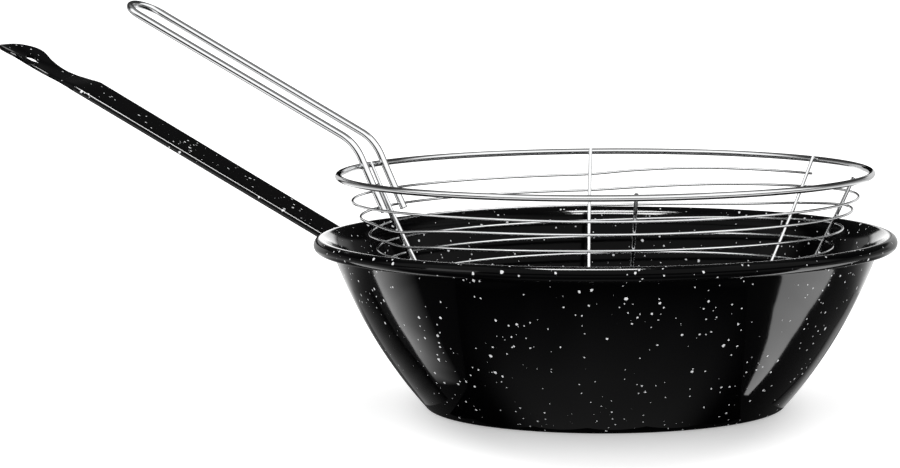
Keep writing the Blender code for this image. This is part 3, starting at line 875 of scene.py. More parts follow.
# %% Wire tree
def make_wire_tree():
    """Build the tree that turns a line of edges into a wire."""
    tree = bpy.data.node_groups.new("drawn_wire", "GeometryNodeTree")
    open_socket(tree, "Geometry", "Geometry")
    open_socket(tree, "Gauge", "Float", default=2.0 * MM)
    open_socket(tree, "Sides", "Int", default=12)
    open_socket(tree, "Metal", "Material")
    open_socket(tree, "Geometry", "Geometry", "OUTPUT")
    inside = tree.nodes.new("NodeGroupInput").outputs
    line = add_node(tree, "GeometryNodeMeshToCurve", {"Mesh": inside["Geometry"]}).outputs["Curve"]
    run = tree.nodes.new("GeometryNodeSplineParameter").outputs["Length"]
    marked = add_node(
        tree,
        "GeometryNodeStoreNamedAttribute",
        {"Geometry": line, "Name": "wire_run", "Value": run},
        data_type="FLOAT",
        domain="POINT",
    ).outputs["Geometry"]
    radius = calc(tree, "MULTIPLY", inside["Gauge"], 0.5)
    circle = add_node(
        tree,
        "GeometryNodeCurvePrimitiveCircle",
        {"Resolution": inside["Sides"], "Radius": radius},
    ).outputs["Curve"]
    share = tree.nodes.new("GeometryNodeSplineParameter").outputs["Factor"]
    section = add_node(
        tree,
        "GeometryNodeStoreNamedAttribute",
        {"Geometry": circle, "Name": "wire_round", "Value": share},
        data_type="FLOAT",
        domain="POINT",
    ).outputs["Geometry"]
    swept = add_node(
        tree,
        "GeometryNodeCurveToMesh",
        {"Curve": marked, "Profile Curve": section, "Fill Caps": True},
    ).outputs["Mesh"]
    smooth = add_node(tree, "GeometryNodeSetShadeSmooth", {"Geometry": swept}).outputs["Geometry"]
    corners = tree.nodes.new("GeometryNodeInputMeshFaceNeighbors").outputs["Vertex Count"]
    is_end = add_node(
        tree, "FunctionNodeCompare", {2: corners, 3: 4}, data_type="INT", operation="GREATER_THAN"
    ).outputs["Result"]
    ends = add_node(
        tree,
        "GeometryNodeSetShadeSmooth",
        {"Geometry": smooth, "Selection": is_end, "Shade Smooth": False},
    ).outputs["Geometry"]
    real = add_node(tree, "GeometryNodeRealizeInstances", {"Geometry": ends}).outputs["Geometry"]
    metal = add_node(
        tree, "GeometryNodeSetMaterial", {"Geometry": real, "Material": inside["Metal"]}
    ).outputs["Geometry"]
    put_out(tree, metal)
    return tree


wire_tree = make_wire_tree()


def set_inputs(modifier, values):
    """Set a Geometry Nodes modifier's inputs by their sockets' identifiers."""
    for item in modifier.node_group.interface.items_tree:
        if item.item_type == "SOCKET" and item.in_out == "INPUT" and item.name in values:
            modifier[item.identifier] = values[item.name]


def draw_wire(name, points, gauge, sides, metal, closed=False):
    """Draw a round wire through the points and return it as a plain mesh."""
    edges = [(index, index + 1) for index in range(len(points) - 1)]
    if closed:
        edges.append((len(points) - 1, 0))
    mesh = bpy.data.meshes.new(name)
    mesh.from_pydata([tuple(point) for point in points], edges, [])
    wire = new_mesh_object(name, mesh)
    modifier = wire.modifiers.new("drawn_wire", "NODES")
    modifier.node_group = wire_tree
    set_inputs(modifier, {"Gauge": gauge, "Sides": sides, "Metal": metal})
    return bake_modifiers(wire)


print("geometry tree:", wire_tree.name, "with", len(wire_tree.nodes), "nodes")

# %% [markdown]
# ## The basket's ribs and ring
#
# Three rib wires run down one wall, across the floor and up the other, and hump over each other
# in the middle. They are welded inside the thick top ring and end a little above it. The legs
# aren't quite evenly spread in the photograph, and one of them leans, so each leg has its own
# direction.

# %% Rib lines
RING_WIRE = 3.2 * MM
RIB_WIRE = 1.9 * MM
SPIRAL_WIRE = 1.3 * MM
LOOP_WIRE = 3.9 * MM
RING_DIAMETER = 264.6 * MM
RING_HEIGHT = 116.6 * MM
BASKET_FLOOR_DIAMETER = 132.0 * MM
BASKET_BULGE = 2.7 * MM
BASKET_CORNER_RADIUS = 9.0 * MM
RIB_PROUD = 0.1 * MM
RIB_CROSSING_REACH = 13.0 * MM
RIB_HUMP_RISE_SHARE = 0.62
# Directions of each rib's two legs at the floor, and how far each leans by the ring, in degrees
RIB_LEGS = (
    ((0.0, 0.0), (180.0, 0.0)),
    ((57.0, 0.0), (237.0, 0.0)),
    ((119.3, -3.0), (299.6, 0.0)),
)
RIB_WALL_STEPS = 60
RIB_CORNER_STEPS = 12
RIB_FLOOR_STEPS = 30

floor_level = SHELL_THICKNESS + 2.0 * FIT_GAP + SPIRAL_WIRE + RIB_WIRE / 2.0


def rib_profile():
    """Return half of a rib wire, from its top end down to the basket's middle."""
    top_radius = RING_DIAMETER / 2.0 - RING_WIRE / 2.0 - FIT_GAP - RIB_WIRE / 2.0
    foot = Vector((BASKET_FLOOR_DIAMETER / 2.0, floor_level))
    wall = bowed_line(Vector((top_radius, RING_HEIGHT)), foot, BASKET_BULGE, RIB_WALL_STEPS)
    upward = (wall[0] - wall[1]).normalized()
    wall.insert(0, wall[0] + upward * ((RING_WIRE / 2.0 + RIB_PROUD) / upward.y))
    lengths = path_lengths(wall)
    downward = (wall[-1] - wall[-2]).normalized()
    swing = math.atan2(-downward.y, -downward.x)
    tangent = BASKET_CORNER_RADIUS * math.tan(swing / 2.0)
    wall = [point for point, run in zip(wall, lengths) if run < lengths[-1] - tangent]
    centre = foot + Vector((-tangent, BASKET_CORNER_RADIUS))
    down = -math.pi / 2.0
    corner = arc(centre, BASKET_CORNER_RADIUS, swing + down, down, RIB_CORNER_STEPS)
    return wall + corner + [Vector((0.0, floor_level))]


def leg_direction(leg, height):
    """Return a rib leg's direction at a height, with its lean."""
    foot, lean = leg
    risen = max(0.0, height - floor_level)
    return math.radians(foot + lean * risen / (RING_HEIGHT - floor_level))


def rib_line(number):
    """Return the points of one rib wire from end to end."""
    profile = rib_profile()[:-1]
    half = [point.copy() for point in profile]
    hump = number * (RIB_WIRE + FIT_GAP)
    reach = RIB_CROSSING_REACH * number
    inner = profile[-1].x
    for index in range(1, RIB_FLOOR_STEPS + 1):
        radius = inner * (1.0 - index / RIB_FLOOR_STEPS)
        lift = 0.0
        if reach and radius < reach:
            lift = hump * eased(min(1.0, (1.0 - radius / reach) / RIB_HUMP_RISE_SHARE))
        half.append(Vector((radius, floor_level + lift)))
    line = []
    near_leg, far_leg = RIB_LEGS[number]
    for leg, points in ((near_leg, half), (far_leg, half[-2::-1])):
        for point in points:
            line.append(round_axis(point.x, leg_direction(leg, point.y), point.y))
    return line


rib_lines = [rib_line(number) for number in range(len(RIB_LEGS))]
print("rib wires in mm:", [round(path_lengths(line)[-1] / MM) for line in rib_lines])

# %% Make the ring and the ribs
RING_STEPS = 288
RING_SIDES = 24
RIB_SIDES = 16


def ring_circle():
    """Return the ring's points all the way round, with the first one again at the end."""
    angles = [math.tau * index / RING_STEPS for index in range(RING_STEPS + 1)]
    return [round_axis(RING_DIAMETER / 2.0, angle, RING_HEIGHT) for angle in angles]


ring_line = ring_circle()
print(f"ring wire: {path_lengths(ring_line)[-1] / MM:.0f} mm")
ring = draw_wire("top_ring", ring_line[:-1], RING_WIRE, RING_SIDES, ring_steel, closed=True)
hand_over(ring, "basket", "basket_top_ring")
for number, line in enumerate(rib_lines, 1):
    rib = draw_wire(f"rib_{number}", line, RIB_WIRE, RIB_SIDES, rib_steel)
    hand_over(rib, "basket", f"basket_rib_wire_{number}")

# %% [markdown]
# ## The winding
#
# One thin wire winds round the outside of the ribs from just under the ring to an open eye in the
# middle of the floor. It isn't an even helix: each turn lies almost level and steps down to the
# next one between the back ribs. The table holds the drops measured on the turns that show, in
# the order in which the wire passes them. Below the last one the wire goes on at the average
# pitch.

# %% Winding line
WINDING_START_DIRECTION = 56.3
WINDING_PITCH = 8.0 * MM
WINDING_EYE_RADIUS = 6.0 * MM
WINDING_STEP = 2.0
# Degrees wound since the first rib's direction of 0, and drop below the ring in mm
WINDING_DROPS_MM = (
    (56.3, 7.0), (80.0, 7.5), (92.0, 8.0), (106.0, 9.8), (119.0, 11.9),
    (206.0, 12.5), (256.0, 11.2), (296.0, 11.5), (386.0, 11.6), (426.0, 14.2),
    (446.0, 16.0), (464.0, 18.3), (479.0, 20.0), (566.0, 20.6), (584.0, 20.1),
    (598.0, 21.8), (608.0, 19.8), (621.0, 18.3), (656.0, 17.9), (746.0, 18.1),
    (775.0, 21.6), (796.0, 25.0), (824.0, 27.2), (839.0, 27.7), (891.0, 28.0),
    (926.0, 29.6), (948.0, 28.6), (957.0, 29.4), (971.0, 27.5), (1016.0, 25.9),
    (1106.0, 27.6), (1150.0, 31.4), (1199.0, 35.5), (1286.0, 36.7), (1317.0, 36.6),
    (1376.0, 35.6), (1466.0, 36.6), (1510.0, 39.6), (1559.0, 43.5), (1736.0, 44.4),
    (1919.0, 52.0),
)
WINDING_DROPS = tuple((angle, drop * MM) for angle, drop in WINDING_DROPS_MM)


def winding_line():
    """Return the winding's points and the degrees wound at each."""
    outline = rib_profile()
    dense = []
    for first, second in zip(outline[1:], outline[2:]):
        steps = max(1, int((second - first).length / (SPIRAL_WIRE / 2.0)))
        dense += [first.lerp(second, step / steps) for step in range(steps)]
    dense.append(outline[-1])
    line = offset_path(dense, -(RIB_WIRE + SPIRAL_WIRE) / 2.0)
    lengths = path_lengths(line)
    corner_run = next(run for point, run in zip(line, lengths) if point.y < BASKET_CORNER_RADIUS)
    last_angle, last_drop = WINDING_DROPS[-1]
    points = []
    angles = []
    angle = WINDING_START_DIRECTION
    while True:
        if angle <= last_angle:
            drop = spread(WINDING_DROPS, angle)[0]
        else:
            drop = last_drop + WINDING_PITCH * (angle - last_angle) / 360.0
        height = RING_HEIGHT - drop
        if height > BASKET_CORNER_RADIUS:
            spot = at_height(line, height)
        else:
            run = corner_run + BASKET_CORNER_RADIUS - height
            if lengths[-1] - run < WINDING_EYE_RADIUS:
                break
            spot = along(line, lengths, run)
        points.append(round_axis(spot.x, math.radians(angle), spot.y))
        angles.append(angle)
        angle += WINDING_STEP
    return points, angles


# %% Make the winding
SPIRAL_SIDES = 12

winding, winding_angles = winding_line()
spiral = draw_wire("winding", winding, SPIRAL_WIRE, SPIRAL_SIDES, spiral_steel)
hand_over(spiral, "basket", "basket_spiral_wire")
turns = (winding_angles[-1] - winding_angles[0]) / 360.0
print(f"winding: {turns:.1f} turns, {path_lengths(winding)[-1]:.2f} m of wire")

# %% [markdown]
# ## The basket's handle
#
# One thick wire is bent double. Its two legs run down inside the wall and are welded to the ring
# and to the first turns. Above the ring they bend away from the basket, run out side by side, a
# little further apart towards the end, and meet in a round tip.

# %% Loop line
LOOP_ROOT_WIDTH = 22.0 * MM
LOOP_TIP_WIDTH = 23.4 * MM
LOOP_LEG_BELOW_RING = 22.5 * MM
LOOP_STRAIGHT_ABOVE_RING = 4.0 * MM
LOOP_BEND_RADIUS = 25.0 * MM
LOOP_RISE_ANGLE = math.radians(26.95)
LOOP_REACH = 270.2 * MM
LOOP_BEND_STEPS = 20
LOOP_TIP_STEPS = 28
LOOP_RUN_STEPS = 40
LOOP_SIDES = 32


def loop_line():
    """Return the points of the handle's wire from one leg's end to the other's."""
    inner = offset_path(rib_profile(), (LOOP_WIRE - RIB_WIRE) / 2.0)[1:]
    lowest = RING_HEIGHT - LOOP_LEG_BELOW_RING
    leg = [point for point in inner if point.y > lowest] + [at_height(inner, lowest)]
    leg.reverse()
    upward = (leg[-1] - leg[-2]).normalized()
    bend_start = leg[-1] + upward * (LOOP_STRAIGHT_ABOVE_RING / upward.y)
    rise = polar(1.0, LOOP_RISE_ANGLE)
    bend = bend_round(bend_start, upward, rise, LOOP_BEND_RADIUS, LOOP_BEND_STEPS)
    tip_radius = LOOP_TIP_WIDTH / 2.0
    straight = (LOOP_REACH - bend[-1].x) / rise.x - tip_radius
    stretch = []
    for index in range(1, LOOP_RUN_STEPS + 1):
        stretch.append(bend[-1] + rise * straight * index / LOOP_RUN_STEPS)
    line = leg + bend + stretch
    lengths = path_lengths(line)
    bend_end = lengths[len(leg) + len(bend) - 1]
    half_root = LOOP_ROOT_WIDTH / 2.0
    side = []
    for point, run in zip(line, lengths):
        share = max(run - bend_end, 0.0) / (lengths[-1] - bend_end)
        half_width = half_root + (tip_radius - half_root) * share
        side.append(Vector((-math.sqrt(point.x**2 - half_root**2), half_width, point.y)))
    tip = []
    for index in range(1, LOOP_TIP_STEPS):
        swing = polar(tip_radius, math.pi * index / LOOP_TIP_STEPS)
        tip.append(side[-1] + Vector((-rise.x * swing.y, swing.x - tip_radius, rise.y * swing.y)))
    other = [Vector((point.x, -point.y, point.z)) for point in reversed(side)]
    return side + tip + other


loop_points = loop_line()
print(f"basket handle: {path_lengths(loop_points)[-1] / MM:.0f} mm of wire")
loop = draw_wire("basket_handle", loop_points, LOOP_WIRE, LOOP_SIDES, loop_steel)
hand_over(loop, "basket", "basket_handle_loop")

# %% [markdown]
# ## Welds
#
# Crossed wires are joined by spot welding: the electrodes press them into each other, and a
# little metal squeezes out round the contact. A second tree sets one flattened bead on each place
# that it is given and turns its short side towards the two wires. The places are found from the
# same lines, where a point of one line lies within reach of the other. Some crossings of the
# winding with the second and third rib have no such point, and the ribs' ends stop beside the
# ring, so these get no bead.

# %% Weld tree
# Beads differ in size between these shares
BEAD_SHARES = (0.85, 1.15)
BEAD_SEED = 3


def make_weld_tree():
    """Build the tree that sets a flattened bead on each point."""
    tree = bpy.data.node_groups.new("weld_beads", "GeometryNodeTree")
    open_socket(tree, "Geometry", "Geometry")
    open_socket(tree, "Bead Radius", "Float", default=1.0 * MM)
    open_socket(tree, "Bead Height", "Float", default=0.7 * MM)
    open_socket(tree, "Seed", "Int", default=BEAD_SEED)
    open_socket(tree, "Metal", "Material")
    open_socket(tree, "Geometry", "Geometry", "OUTPUT")
    inside = tree.nodes.new("NodeGroupInput").outputs
    ball = add_node(
        tree, "GeometryNodeMeshIcoSphere", {"Radius": inside["Bead Radius"], "Subdivisions": 2}
    ).outputs["Mesh"]
    flatness = calc(tree, "DIVIDE", inside["Bead Height"], inside["Bead Radius"])
    squash = add_node(tree, "ShaderNodeCombineXYZ", {"X": 1.0, "Y": 1.0, "Z": flatness})
    bead = add_node(
        tree, "GeometryNodeTransform", {"Geometry": ball, "Scale": squash.outputs[0]}
    ).outputs["Geometry"]
    outward = add_node(
        tree, "GeometryNodeInputNamedAttribute", {"Name": "outward"}, data_type="FLOAT_VECTOR"
    ).outputs["Attribute"]
    facing = add_node(
        tree, "FunctionNodeAlignRotationToVector", {"Vector": outward}, axis="Z"
    ).outputs["Rotation"]
    least, most = BEAD_SHARES
    size = add_node(
        tree,
        "FunctionNodeRandomValue",
        {2: least, 3: most, "Seed": inside["Seed"]},
        data_type="FLOAT",
    ).outputs[1]
    placed = add_node(
        tree,
        "GeometryNodeInstanceOnPoints",
        {"Points": inside["Geometry"], "Instance": bead, "Rotation": facing, "Scale": size},
    ).outputs["Instances"]
    real = add_node(tree, "GeometryNodeRealizeInstances", {"Geometry": placed}).outputs["Geometry"]
    smooth = add_node(tree, "GeometryNodeSetShadeSmooth", {"Geometry": real}).outputs["Geometry"]
    metal = add_node(
        tree, "GeometryNodeSetMaterial", {"Geometry": smooth, "Material": inside["Metal"]}
    ).outputs["Geometry"]
    put_out(tree, metal)
    return tree


weld_tree = make_weld_tree()


def make_welds(name, spots, radius, height):
    """Set beads on a list of places, each with the direction its wires lie apart."""
    mesh = bpy.data.meshes.new(name)
    mesh.from_pydata([tuple(place) for place, _ in spots], [], [])
    outward = mesh.attributes.new("outward", "FLOAT_VECTOR", "POINT")
    for item, (_, direction) in zip(outward.data, spots):
        item.vector = direction
    welds = new_mesh_object(name, mesh)
    modifier = welds.modifiers.new("weld_beads", "NODES")
    modifier.node_group = weld_tree
    set_inputs(modifier, {"Bead Radius": radius, "Bead Height": height, "Metal": weld_steel})
    welds = bake_modifiers(welds)
    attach(welds, "basket")
    print(f"{name}: {len(spots)} beads")


# %% Find the crossings
def nearest_on(points, place):
    """Return the point of a line that lies nearest to a place."""
    best = points[0]
    for first, second in zip(points, points[1:]):
        run = second - first
        share = min(1.0, max(0.0, (place - first).dot(run) / run.length_squared))
        spot = first + run * share
        if (spot - place).length < (best - place).length:
            best = spot
    return best


def crossings(line, other, reach):
    """Return where two lines pass within a reach, with the direction between them."""
    spots = []
    gaps = [nearest_on(other, point) for point in line]
    sizes = [(point - near).length for point, near in zip(line, gaps)]
    for index in range(1, len(line) - 1):
        if sizes[index] < reach and sizes[index - 1] > sizes[index] <= sizes[index + 1]:
            middle = line[index].lerp(gaps[index], 0.5)
            spots.append((middle, (gaps[index] - line[index]).normalized()))
    return spots


# %% Set the beads
# How close two wires' middles have to come for a bead, as a share of their gauges' sum
TOUCH_SHARE = 0.6
LOOP_TOUCH_SHARE = 0.62
WINDING_BEAD = (0.8 * MM, 0.6 * MM)
RING_BEAD = (1.3 * MM, 0.9 * MM)

fine_spots = []
thick_spots = []
for line in rib_lines:
    fine_spots += crossings(winding, line, (RIB_WIRE + SPIRAL_WIRE) * TOUCH_SHARE)
    thick_spots += crossings(line, ring_line, (RIB_WIRE + RING_WIRE) * TOUCH_SHARE)
thick_spots += crossings(loop_points, ring_line, (LOOP_WIRE + RING_WIRE) * TOUCH_SHARE)
fine_spots += crossings(winding, loop_points, (LOOP_WIRE + SPIRAL_WIRE) * LOOP_TOUCH_SHARE)
make_welds("winding_welds", fine_spots, *WINDING_BEAD)
make_welds("ring_welds", thick_spots, *RING_BEAD)

# %% [markdown]
# ## Floor, background and light
#
# The pot stands on a plain white sweep under soft light from all round, so the only shadow is the
# soft one at its foot. The world gives that even light and shows white to the camera. The floor
# glows a little there too, which carries it to white while it keeps the shadow.
#
# Gloss needs more contrast than even light has, or bright wire would vanish on white. So mirror
# rays meet a studio: a wide window of light in front, a low bright band behind with darkness
# above it, a dim room between them, and a pale table that falls off to a dim floor near the pot
# and far from it.

# %% Floor
FLOOR_SIZE = 12.0
FLOOR_CELLS = 4
FLOOR_GREY = 0.85
FLOOR_GLOW = 0.3
# Painted light: the floor glows more outside an oval, narrow across the view and long along it, so
# the shadow fades there
SIDE_GLOW = 0.32
SHADOW_WIDENING = 0.415
SHADOW_FADE = (165.0 * MM, 265.0 * MM)
# What gloss sees of the floor: dim by the pot as a painted shadow, a pale table that is wider than
# deep, then the room
NEAR_POT_PAINTED_SHADE = 0.1
TABLE = 0.88
FAR_FLOOR_FRONT = 0.12
FAR_FLOOR_BACK = 0.45
TABLE_WIDENING = 1.27
TABLE_START = (178.0 * MM, 340.0 * MM)
TABLE_END = (400.0 * MM, 520.0 * MM)


def oval_reach(tree, right, back, widening):
    """Return how far out a place lies, measured in ovals that are so much wider than deep."""
    narrowed = calc(tree, "DIVIDE", right, widening)
    flat = add_node(tree, "ShaderNodeCombineXYZ", {"X": narrowed, "Y": back}).outputs[0]
    return add_node(tree, "ShaderNodeVectorMath", {0: flat}, operation="LENGTH").outputs["Value"]


def make_floor():
    """Lay a large plain floor that keeps the shadow and shows white."""
    shape = bmesh.new()
    bmesh.ops.create_grid(
        shape, x_segments=FLOOR_CELLS, y_segments=FLOOR_CELLS, size=FLOOR_SIZE / 2.0
    )
    floor = new_mesh_object("studio_floor", take_mesh(shape, "studio_floor"))
    material, tree, shader = new_material("white_sweep")
    tree.nodes.remove(shader)
    place = tree.nodes.new("ShaderNodeTexCoord").outputs["Object"]
    right = dot_with(tree, place, view_right)
    back = dot_with(tree, place, view_back)
    reach = oval_reach(tree, right, back, TABLE_WIDENING)
    rise = smooth_step(tree, reach, *TABLE_START)
    fall = smooth_step(tree, reach, *TABLE_END)
    behind = smooth_step(tree, back, -TABLE_START[0], TABLE_START[0])
    brighter = FAR_FLOOR_BACK - FAR_FLOOR_FRONT
    far = calc(tree, "MULTIPLY_ADD", behind, brighter, FAR_FLOOR_FRONT - TABLE)
    # Near the pot, mirror rays see the floor's colour darkened: a painted shadow
    loss = calc(tree, "MULTIPLY_ADD", rise, TABLE - NEAR_POT_PAINTED_SHADE, NEAR_POT_PAINTED_SHADE - 1.0)
    loss = calc(tree, "MULTIPLY_ADD", fall, far, loss)
    path = tree.nodes.new("ShaderNodeLightPath").outputs
    white = calc(tree, "MULTIPLY_ADD", path["Is Glossy Ray"], loss, 1.0)
    tone = calc(tree, "MULTIPLY", white, FLOOR_GREY)
    colour = add_node(tree, "ShaderNodeCombineColor", {0: tone, 1: tone, 2: tone}).outputs[0]
    paper = add_node(tree, "ShaderNodeBsdfDiffuse", {"Color": colour}).outputs[0]
    seen = calc(tree, "MAXIMUM", path["Is Camera Ray"], path["Is Glossy Ray"])
    seen = calc(tree, "MAXIMUM", seen, path["Is Transmission Ray"])
    # Painted light: more glow away from the pot washes the real shadow out
    beside = smooth_step(tree, oval_reach(tree, right, back, SHADOW_WIDENING), *SHADOW_FADE)
    glow = calc(tree, "MULTIPLY_ADD", beside, SIDE_GLOW, FLOOR_GLOW)
    glow = calc(tree, "MULTIPLY", calc(tree, "MULTIPLY", seen, glow), white)
    light = add_node(tree, "ShaderNodeEmission", {"Strength": glow}).outputs[0]
    both = add_node(tree, "ShaderNodeAddShader", {0: paper, 1: light}).outputs[0]
    tree.links.new(both, tree.nodes["Material Output"].inputs["Surface"])
    floor.data.materials.append(material)
    floor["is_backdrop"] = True
    print(f"floor: {FLOOR_SIZE:.0f} m each way")


make_floor()

# %% World
AMBIENT = 1.0
WINDOW_LIGHT = 1.55
WINDOW_FOOT = math.radians(9.0)
WINDOW_TOP = math.radians(67.0)
WINDOW_FOOT_EDGE = 0.05
# Towards the back the window fades from the second of these to the first
WINDOW_BACK = (0.35, 0.0)
ROOM_FRONT = 0.12
ROOM_BACK = 0.3
ROOM_BACK_ABOVE = 0.05
ROOM_BACK_STEP = (math.sin(math.radians(11.0)), math.sin(math.radians(16.0)))
ROOM_SIDE_STEP = (-0.3, 0.3)
ROOM_TOP = 0.3
ROOM_TOP_STEP = (0.5, 0.9)
BACKDROP_LIGHT = 0.75
BACKDROP_FOOT = math.radians(-2.0)
BACKDROP_TOP = math.radians(13.0)
BACKDROP_FOOT_EDGE = 0.02
BACKDROP_SIDE = math.cos(math.radians(36.0))
BACKDROP_SIDE_STEP = (BACKDROP_SIDE - 0.08, BACKDROP_SIDE + 0.05)
TOP_EDGE = 0.03


def height_band(tree, height, foot, top, foot_edge):
    """Return 1 between two angles of height and 0 elsewhere, with soft edges."""
    foot = math.sin(foot)
    top = math.sin(top)
    risen = smooth_step(tree, height, foot - foot_edge, foot + foot_edge)
    below = smooth_step(tree, height, top + TOP_EDGE, top - TOP_EDGE)
    return calc(tree, "MULTIPLY", risen, below)


def make_world():
    """Light the scene evenly and give gloss a studio to mirror."""
    world = bpy.data.worlds.new("studio")
    bpy.context.scene.world = world
    world.use_nodes = True
    tree = world.node_tree
    background = tree.nodes["Background"]
    direction = tree.nodes.new("ShaderNodeTexCoord").outputs["Generated"]
    toward_back = dot_with(tree, direction, view_back)
    height = dot_with(tree, direction, view_up)
    window = height_band(tree, height, WINDOW_FOOT, WINDOW_TOP, WINDOW_FOOT_EDGE)
    window = calc(tree, "MULTIPLY", smooth_step(tree, toward_back, *WINDOW_BACK), window)
    window = calc(tree, "MULTIPLY", window, WINDOW_LIGHT)
    backdrop = height_band(tree, height, BACKDROP_FOOT, BACKDROP_TOP, BACKDROP_FOOT_EDGE)
    behind = smooth_step(tree, toward_back, *BACKDROP_SIDE_STEP)
    backdrop = calc(tree, "MULTIPLY", calc(tree, "MULTIPLY", behind, backdrop), BACKDROP_LIGHT)
    back_half = smooth_step(tree, toward_back, *ROOM_SIDE_STEP)
    above = smooth_step(tree, height, *ROOM_BACK_STEP)
    rear = calc(tree, "MULTIPLY_ADD", above, ROOM_BACK_ABOVE - ROOM_BACK, ROOM_BACK - ROOM_FRONT)
    walls = calc(tree, "MULTIPLY_ADD", back_half, rear, ROOM_FRONT)
    ceiling = calc(tree, "MULTIPLY", smooth_step(tree, height, *ROOM_TOP_STEP), ROOM_TOP)
    room = calc(tree, "MAXIMUM", walls, ceiling)
    mirrored = calc(tree, "MAXIMUM", room, calc(tree, "MAXIMUM", window, backdrop))
    path = tree.nodes.new("ShaderNodeLightPath").outputs
    others = calc(tree, "SUBTRACT", 1.0, path["Is Glossy Ray"])
    even = calc(tree, "MULTIPLY", others, AMBIENT)
    strength = calc(tree, "MULTIPLY_ADD", path["Is Glossy Ray"], mirrored, even)
    tree.links.new(strength, background.inputs["Strength"])
    background.inputs["Color"].default_value = (1.0, 1.0, 1.0, 1.0)
    print("world:", len(tree.nodes), "nodes")


make_world()

# %% [markdown]
# ## Lamps for the highlights
#
# Gloss shows lamps, not light levels. A softbox hangs nearly overhead. The curve of the rim turns
# it into the bright line along the front and into the bar inside the back, and the handle's edge
# into a thin line. Only mirror rays from the enamel see it: it draws those highlights, leaves the
# even light as it is, and doesn't burn out the wire.

# %% Softbox overhead
enamel_pieces = bpy.data.collections.new("enamel_pieces")
for piece in (pot, handle):
    enamel_pieces.objects.link(piece)

SOFTBOX_HEIGHT = 3.0
SOFTBOX_SIZE = (1.2, 0.84)
SOFTBOX_RIGHT = -0.21
SOFTBOX_BACK = -0.255
SOFTBOX_LIGHT = 180.0


def make_softbox():
    """Hang a rectangular lamp overhead that only gloss can see."""
    width, depth = SOFTBOX_SIZE
    data = bpy.data.lights.new("softbox", "AREA")
    data.shape = "RECTANGLE"
    data.size = width
    data.size_y = depth
    data.energy = SOFTBOX_LIGHT * math.pi * width * depth
    lamp = bpy.data.objects.new("softbox", data)
    bpy.context.scene.collection.objects.link(lamp)
    lamp.location = studio_place(SOFTBOX_RIGHT, SOFTBOX_BACK, POT_HEIGHT + SOFTBOX_HEIGHT)
    lamp.rotation_euler = (0.0, 0.0, VIEW_TURN)
    lamp.visible_camera = False
    lamp.visible_diffuse = False
    lamp.light_linking.receiver_collection = enamel_pieces
    print(f"softbox: {width} by {depth} m, {SOFTBOX_HEIGHT} m above the rim")


make_softbox()

# %% [markdown]
# The other highlights come from glowing cards. The pot's wall leans out, so it mirrors what lies
# low beside it, and most of the cards lie flat on the floor. Two of them make the grey bands on
# the wall: the left one fades towards one side, and the right one is brighter towards the front.
# A faint one in front lifts the lower wall out of pure black, and a faint one at each side lights
# the wall by its outline. One that bends up at the front left shows in the folded edge of the
# pot's handle. The last stands behind the pot and lights the two ends of its rim. They too are
# seen only by mirror rays from the enamel. Each card has a grid in front, as a studio light has,
# which lets its light out one way only, so no stray glare eats into the pot's outline elsewhere.

# %% Cards
CARD_LIGHT = 9.0
# The grid's facing value where the light is full and where none is left
GRID_OPEN = 0.15
GRID_SHUT = 0.4
GRID_BLEND = 0.5
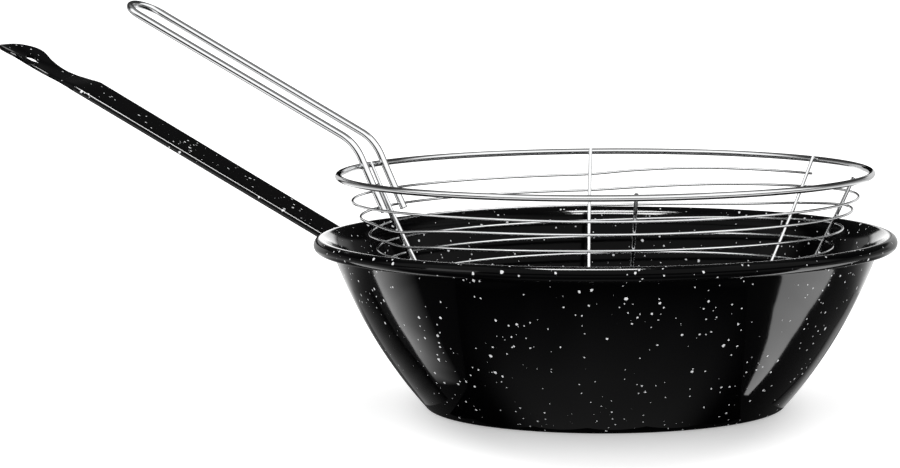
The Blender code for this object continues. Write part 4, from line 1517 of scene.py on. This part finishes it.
# The way the light goes, then rows of places: right, back and up in mm, and the share of light
CARDS = {
    "left_card": (
        (0.76, -0.31, 0.57),
        ((-300, 61, 1, 0.93), (-300, -95, 1, 0.0)),
        ((-221, 17, 1, 0.93), (-240, -84, 1, 0.0)),
        ((-184, -4, 1, 0.93), (-200, -78, 1, 0.0)),
        ((-146, -26, 1, 0.86), (-131, -74, 1, 0.0)),
        ((-115, -40, 1, 0.4), (-97, -72, 1, 0.0)),
        ((-100, -47, 1, 0.0), (-88, -70, 1, 0.0)),
    ),
    "right_card": (
        (-0.76, -0.25, 0.6),
        ((255, -135, 1, 1.7), (300, 30, 1, 0.78)),
        ((178, -110, 1, 1.65), (215, -20, 1, 0.8)),
        ((146, -100, 1, 1.6), (172, -45, 1, 0.85)),
        ((119, -86, 1, 1.4), (134, -58, 1, 0.9)),
        ((94, -78, 1, 1.0), (102, -65, 1, 1.0)),
        ((75, -74, 1, 1.0), (77, -71, 1, 1.0)),
    ),
    "front_card": (
        (0.0, 0.45, 0.9),
        ((-80, -46, 1, 0.03), (-85, -71, 1, 0.03), (-165, -128, 1, 0.0)),
        ((-68, -62, 1, 0.05), (-89, -80, 1, 0.05), (-152, -137, 1, 0.0)),
        ((-39, -83, 1, 0.085), (-51, -109, 1, 0.085), (-87, -186, 1, 0.0)),
        ((-13, -91, 1, 0.11), (-17, -119, 1, 0.12), (-29, -203, 1, 0.0)),
        ((16, -91, 1, 0.095), (21, -118, 1, 0.1), (36, -202, 1, 0.0)),
        ((43, -81, 1, 0.065), (56, -106, 1, 0.065), (96, -181, 1, 0.0)),
        ((64, -66, 1, 0.035), (83, -86, 1, 0.035), (142, -147, 1, 0.0)),
    ),
    "left_edge_card": (
        (0.45, -0.82, 0.35),
        ((-215, 45, 1, 0.0), (-205, 190, 1, 0.05)),
        ((-188, 22, 1, 0.0), (-183, 150, 1, 0.05)),
        ((-163, 2, 1, 0.0), (-159, 110, 1, 0.05)),
        ((-139, -18, 1, 0.0), (-138, 70, 1, 0.05)),
        ((-119, -34, 1, 0.0), (-119, 35, 1, 0.05)),
        ((-103, -42, 1, 0.0), (-104, 8, 1, 0.05)),
        ((-88, -50, 1, 0.0), (-92, -12, 1, 0.05)),
    ),
    "right_edge_card": (
        (-0.45, -0.82, 0.35),
        ((215, 125, 1, 0.0), (213, 150, 1, 0.058), (205, 260, 1, 0.058)),
        ((192, 97, 1, 0.0), (191, 119, 1, 0.058), (184, 230, 1, 0.058)),
        ((166, 50, 1, 0.0), (165, 72, 1, 0.058), (163, 150, 1, 0.058)),
        ((143, 23, 1, 0.0), (142, 45, 1, 0.058), (141, 100, 1, 0.058)),
        ((121, -4, 1, 0.0), (121, 18, 1, 0.058), (120, 60, 1, 0.058)),
        ((102, -28, 1, 0.0), (102, -6, 1, 0.058), (102, 20, 1, 0.058)),
        ((85, -46, 1, 0.0), (87, -26, 1, 0.058), (90, -8, 1, 0.058)),
    ),
    "handle_card": (
        (0.77, 0.62, 0.15),
        ((-1324, -445, 450, 0.9), (-1002, -849, 450, 0.9)),
        ((-1324, -445, 1, 0.9), (-1002, -849, 1, 0.9)),
        ((-712, -96, 1, 0.6), (-526, -330, 1, 0.6)),
    ),
    "back_card": (
        (0.0, -1.0, 0.0),
        ((-380, 1500, 120, 0.0), (-380, 1500, 450, 0.0)),
        ((-230, 1500, 120, 0.31), (-230, 1500, 450, 0.31)),
        ((230, 1500, 120, 0.31), (230, 1500, 450, 0.31)),
        ((380, 1500, 120, 0.0), (380, 1500, 450, 0.0)),
    ),
}


def make_card(name, toward, rows):
    """Stand or lay a glowing card by the pot that only the enamel mirrors."""
    mesh = bpy.data.meshes.new(name)
    across = len(rows[0])
    spots = [spot for row in rows for spot in row]
    places = [tuple(studio_place(*spot[:3]) * MM) for spot in spots]
    corners = [n for n in range(len(spots) - across) if (n + 1) % across]
    mesh.from_pydata(places, [], [(n, n + 1, n + across + 1, n + across) for n in corners])
    brightness = mesh.attributes.new("brightness", "FLOAT", "POINT")
    for item, spot in zip(brightness.data, spots):
        item.value = spot[3]
    card = new_mesh_object(name, mesh)
    material, tree, shader = new_material(name)
    tree.nodes.remove(shader)
    share = add_node(tree, "ShaderNodeAttribute", attribute_name="brightness").outputs["Fac"]
    aim = dict(zip("XYZ", studio_place(*toward).normalized()))
    aim = add_node(tree, "ShaderNodeCombineXYZ", aim).outputs[0]
    facing = add_node(
        tree, "ShaderNodeLayerWeight", {"Blend": GRID_BLEND, "Normal": aim}
    ).outputs["Facing"]
    share = calc(tree, "MULTIPLY", share, smooth_step(tree, facing, GRID_SHUT, GRID_OPEN))
    glow = calc(tree, "MULTIPLY", share, CARD_LIGHT)
    light = add_node(tree, "ShaderNodeEmission", {"Strength": glow}).outputs[0]
    tree.links.new(light, tree.nodes["Material Output"].inputs["Surface"])
    mesh.materials.append(material)
    card.visible_camera = False
    card.visible_diffuse = False
    card.visible_shadow = False
    card.light_linking.receiver_collection = enamel_pieces
    card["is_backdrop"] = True


for card_name, (toward, *rows) in CARDS.items():
    make_card(card_name, toward, rows)
print(len(CARDS), "cards:", ", ".join(CARDS))

# %% Colour management and bounding boxes
bpy.context.scene.view_settings.view_transform = "Standard"
boxes = [[list(corner) for corner in box] for box in (cad_box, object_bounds())]
for label, box in zip(("frame", "scene"), boxes):
    print(label, "box in mm:", [[round(value / MM, 1) for value in corner] for corner in box])
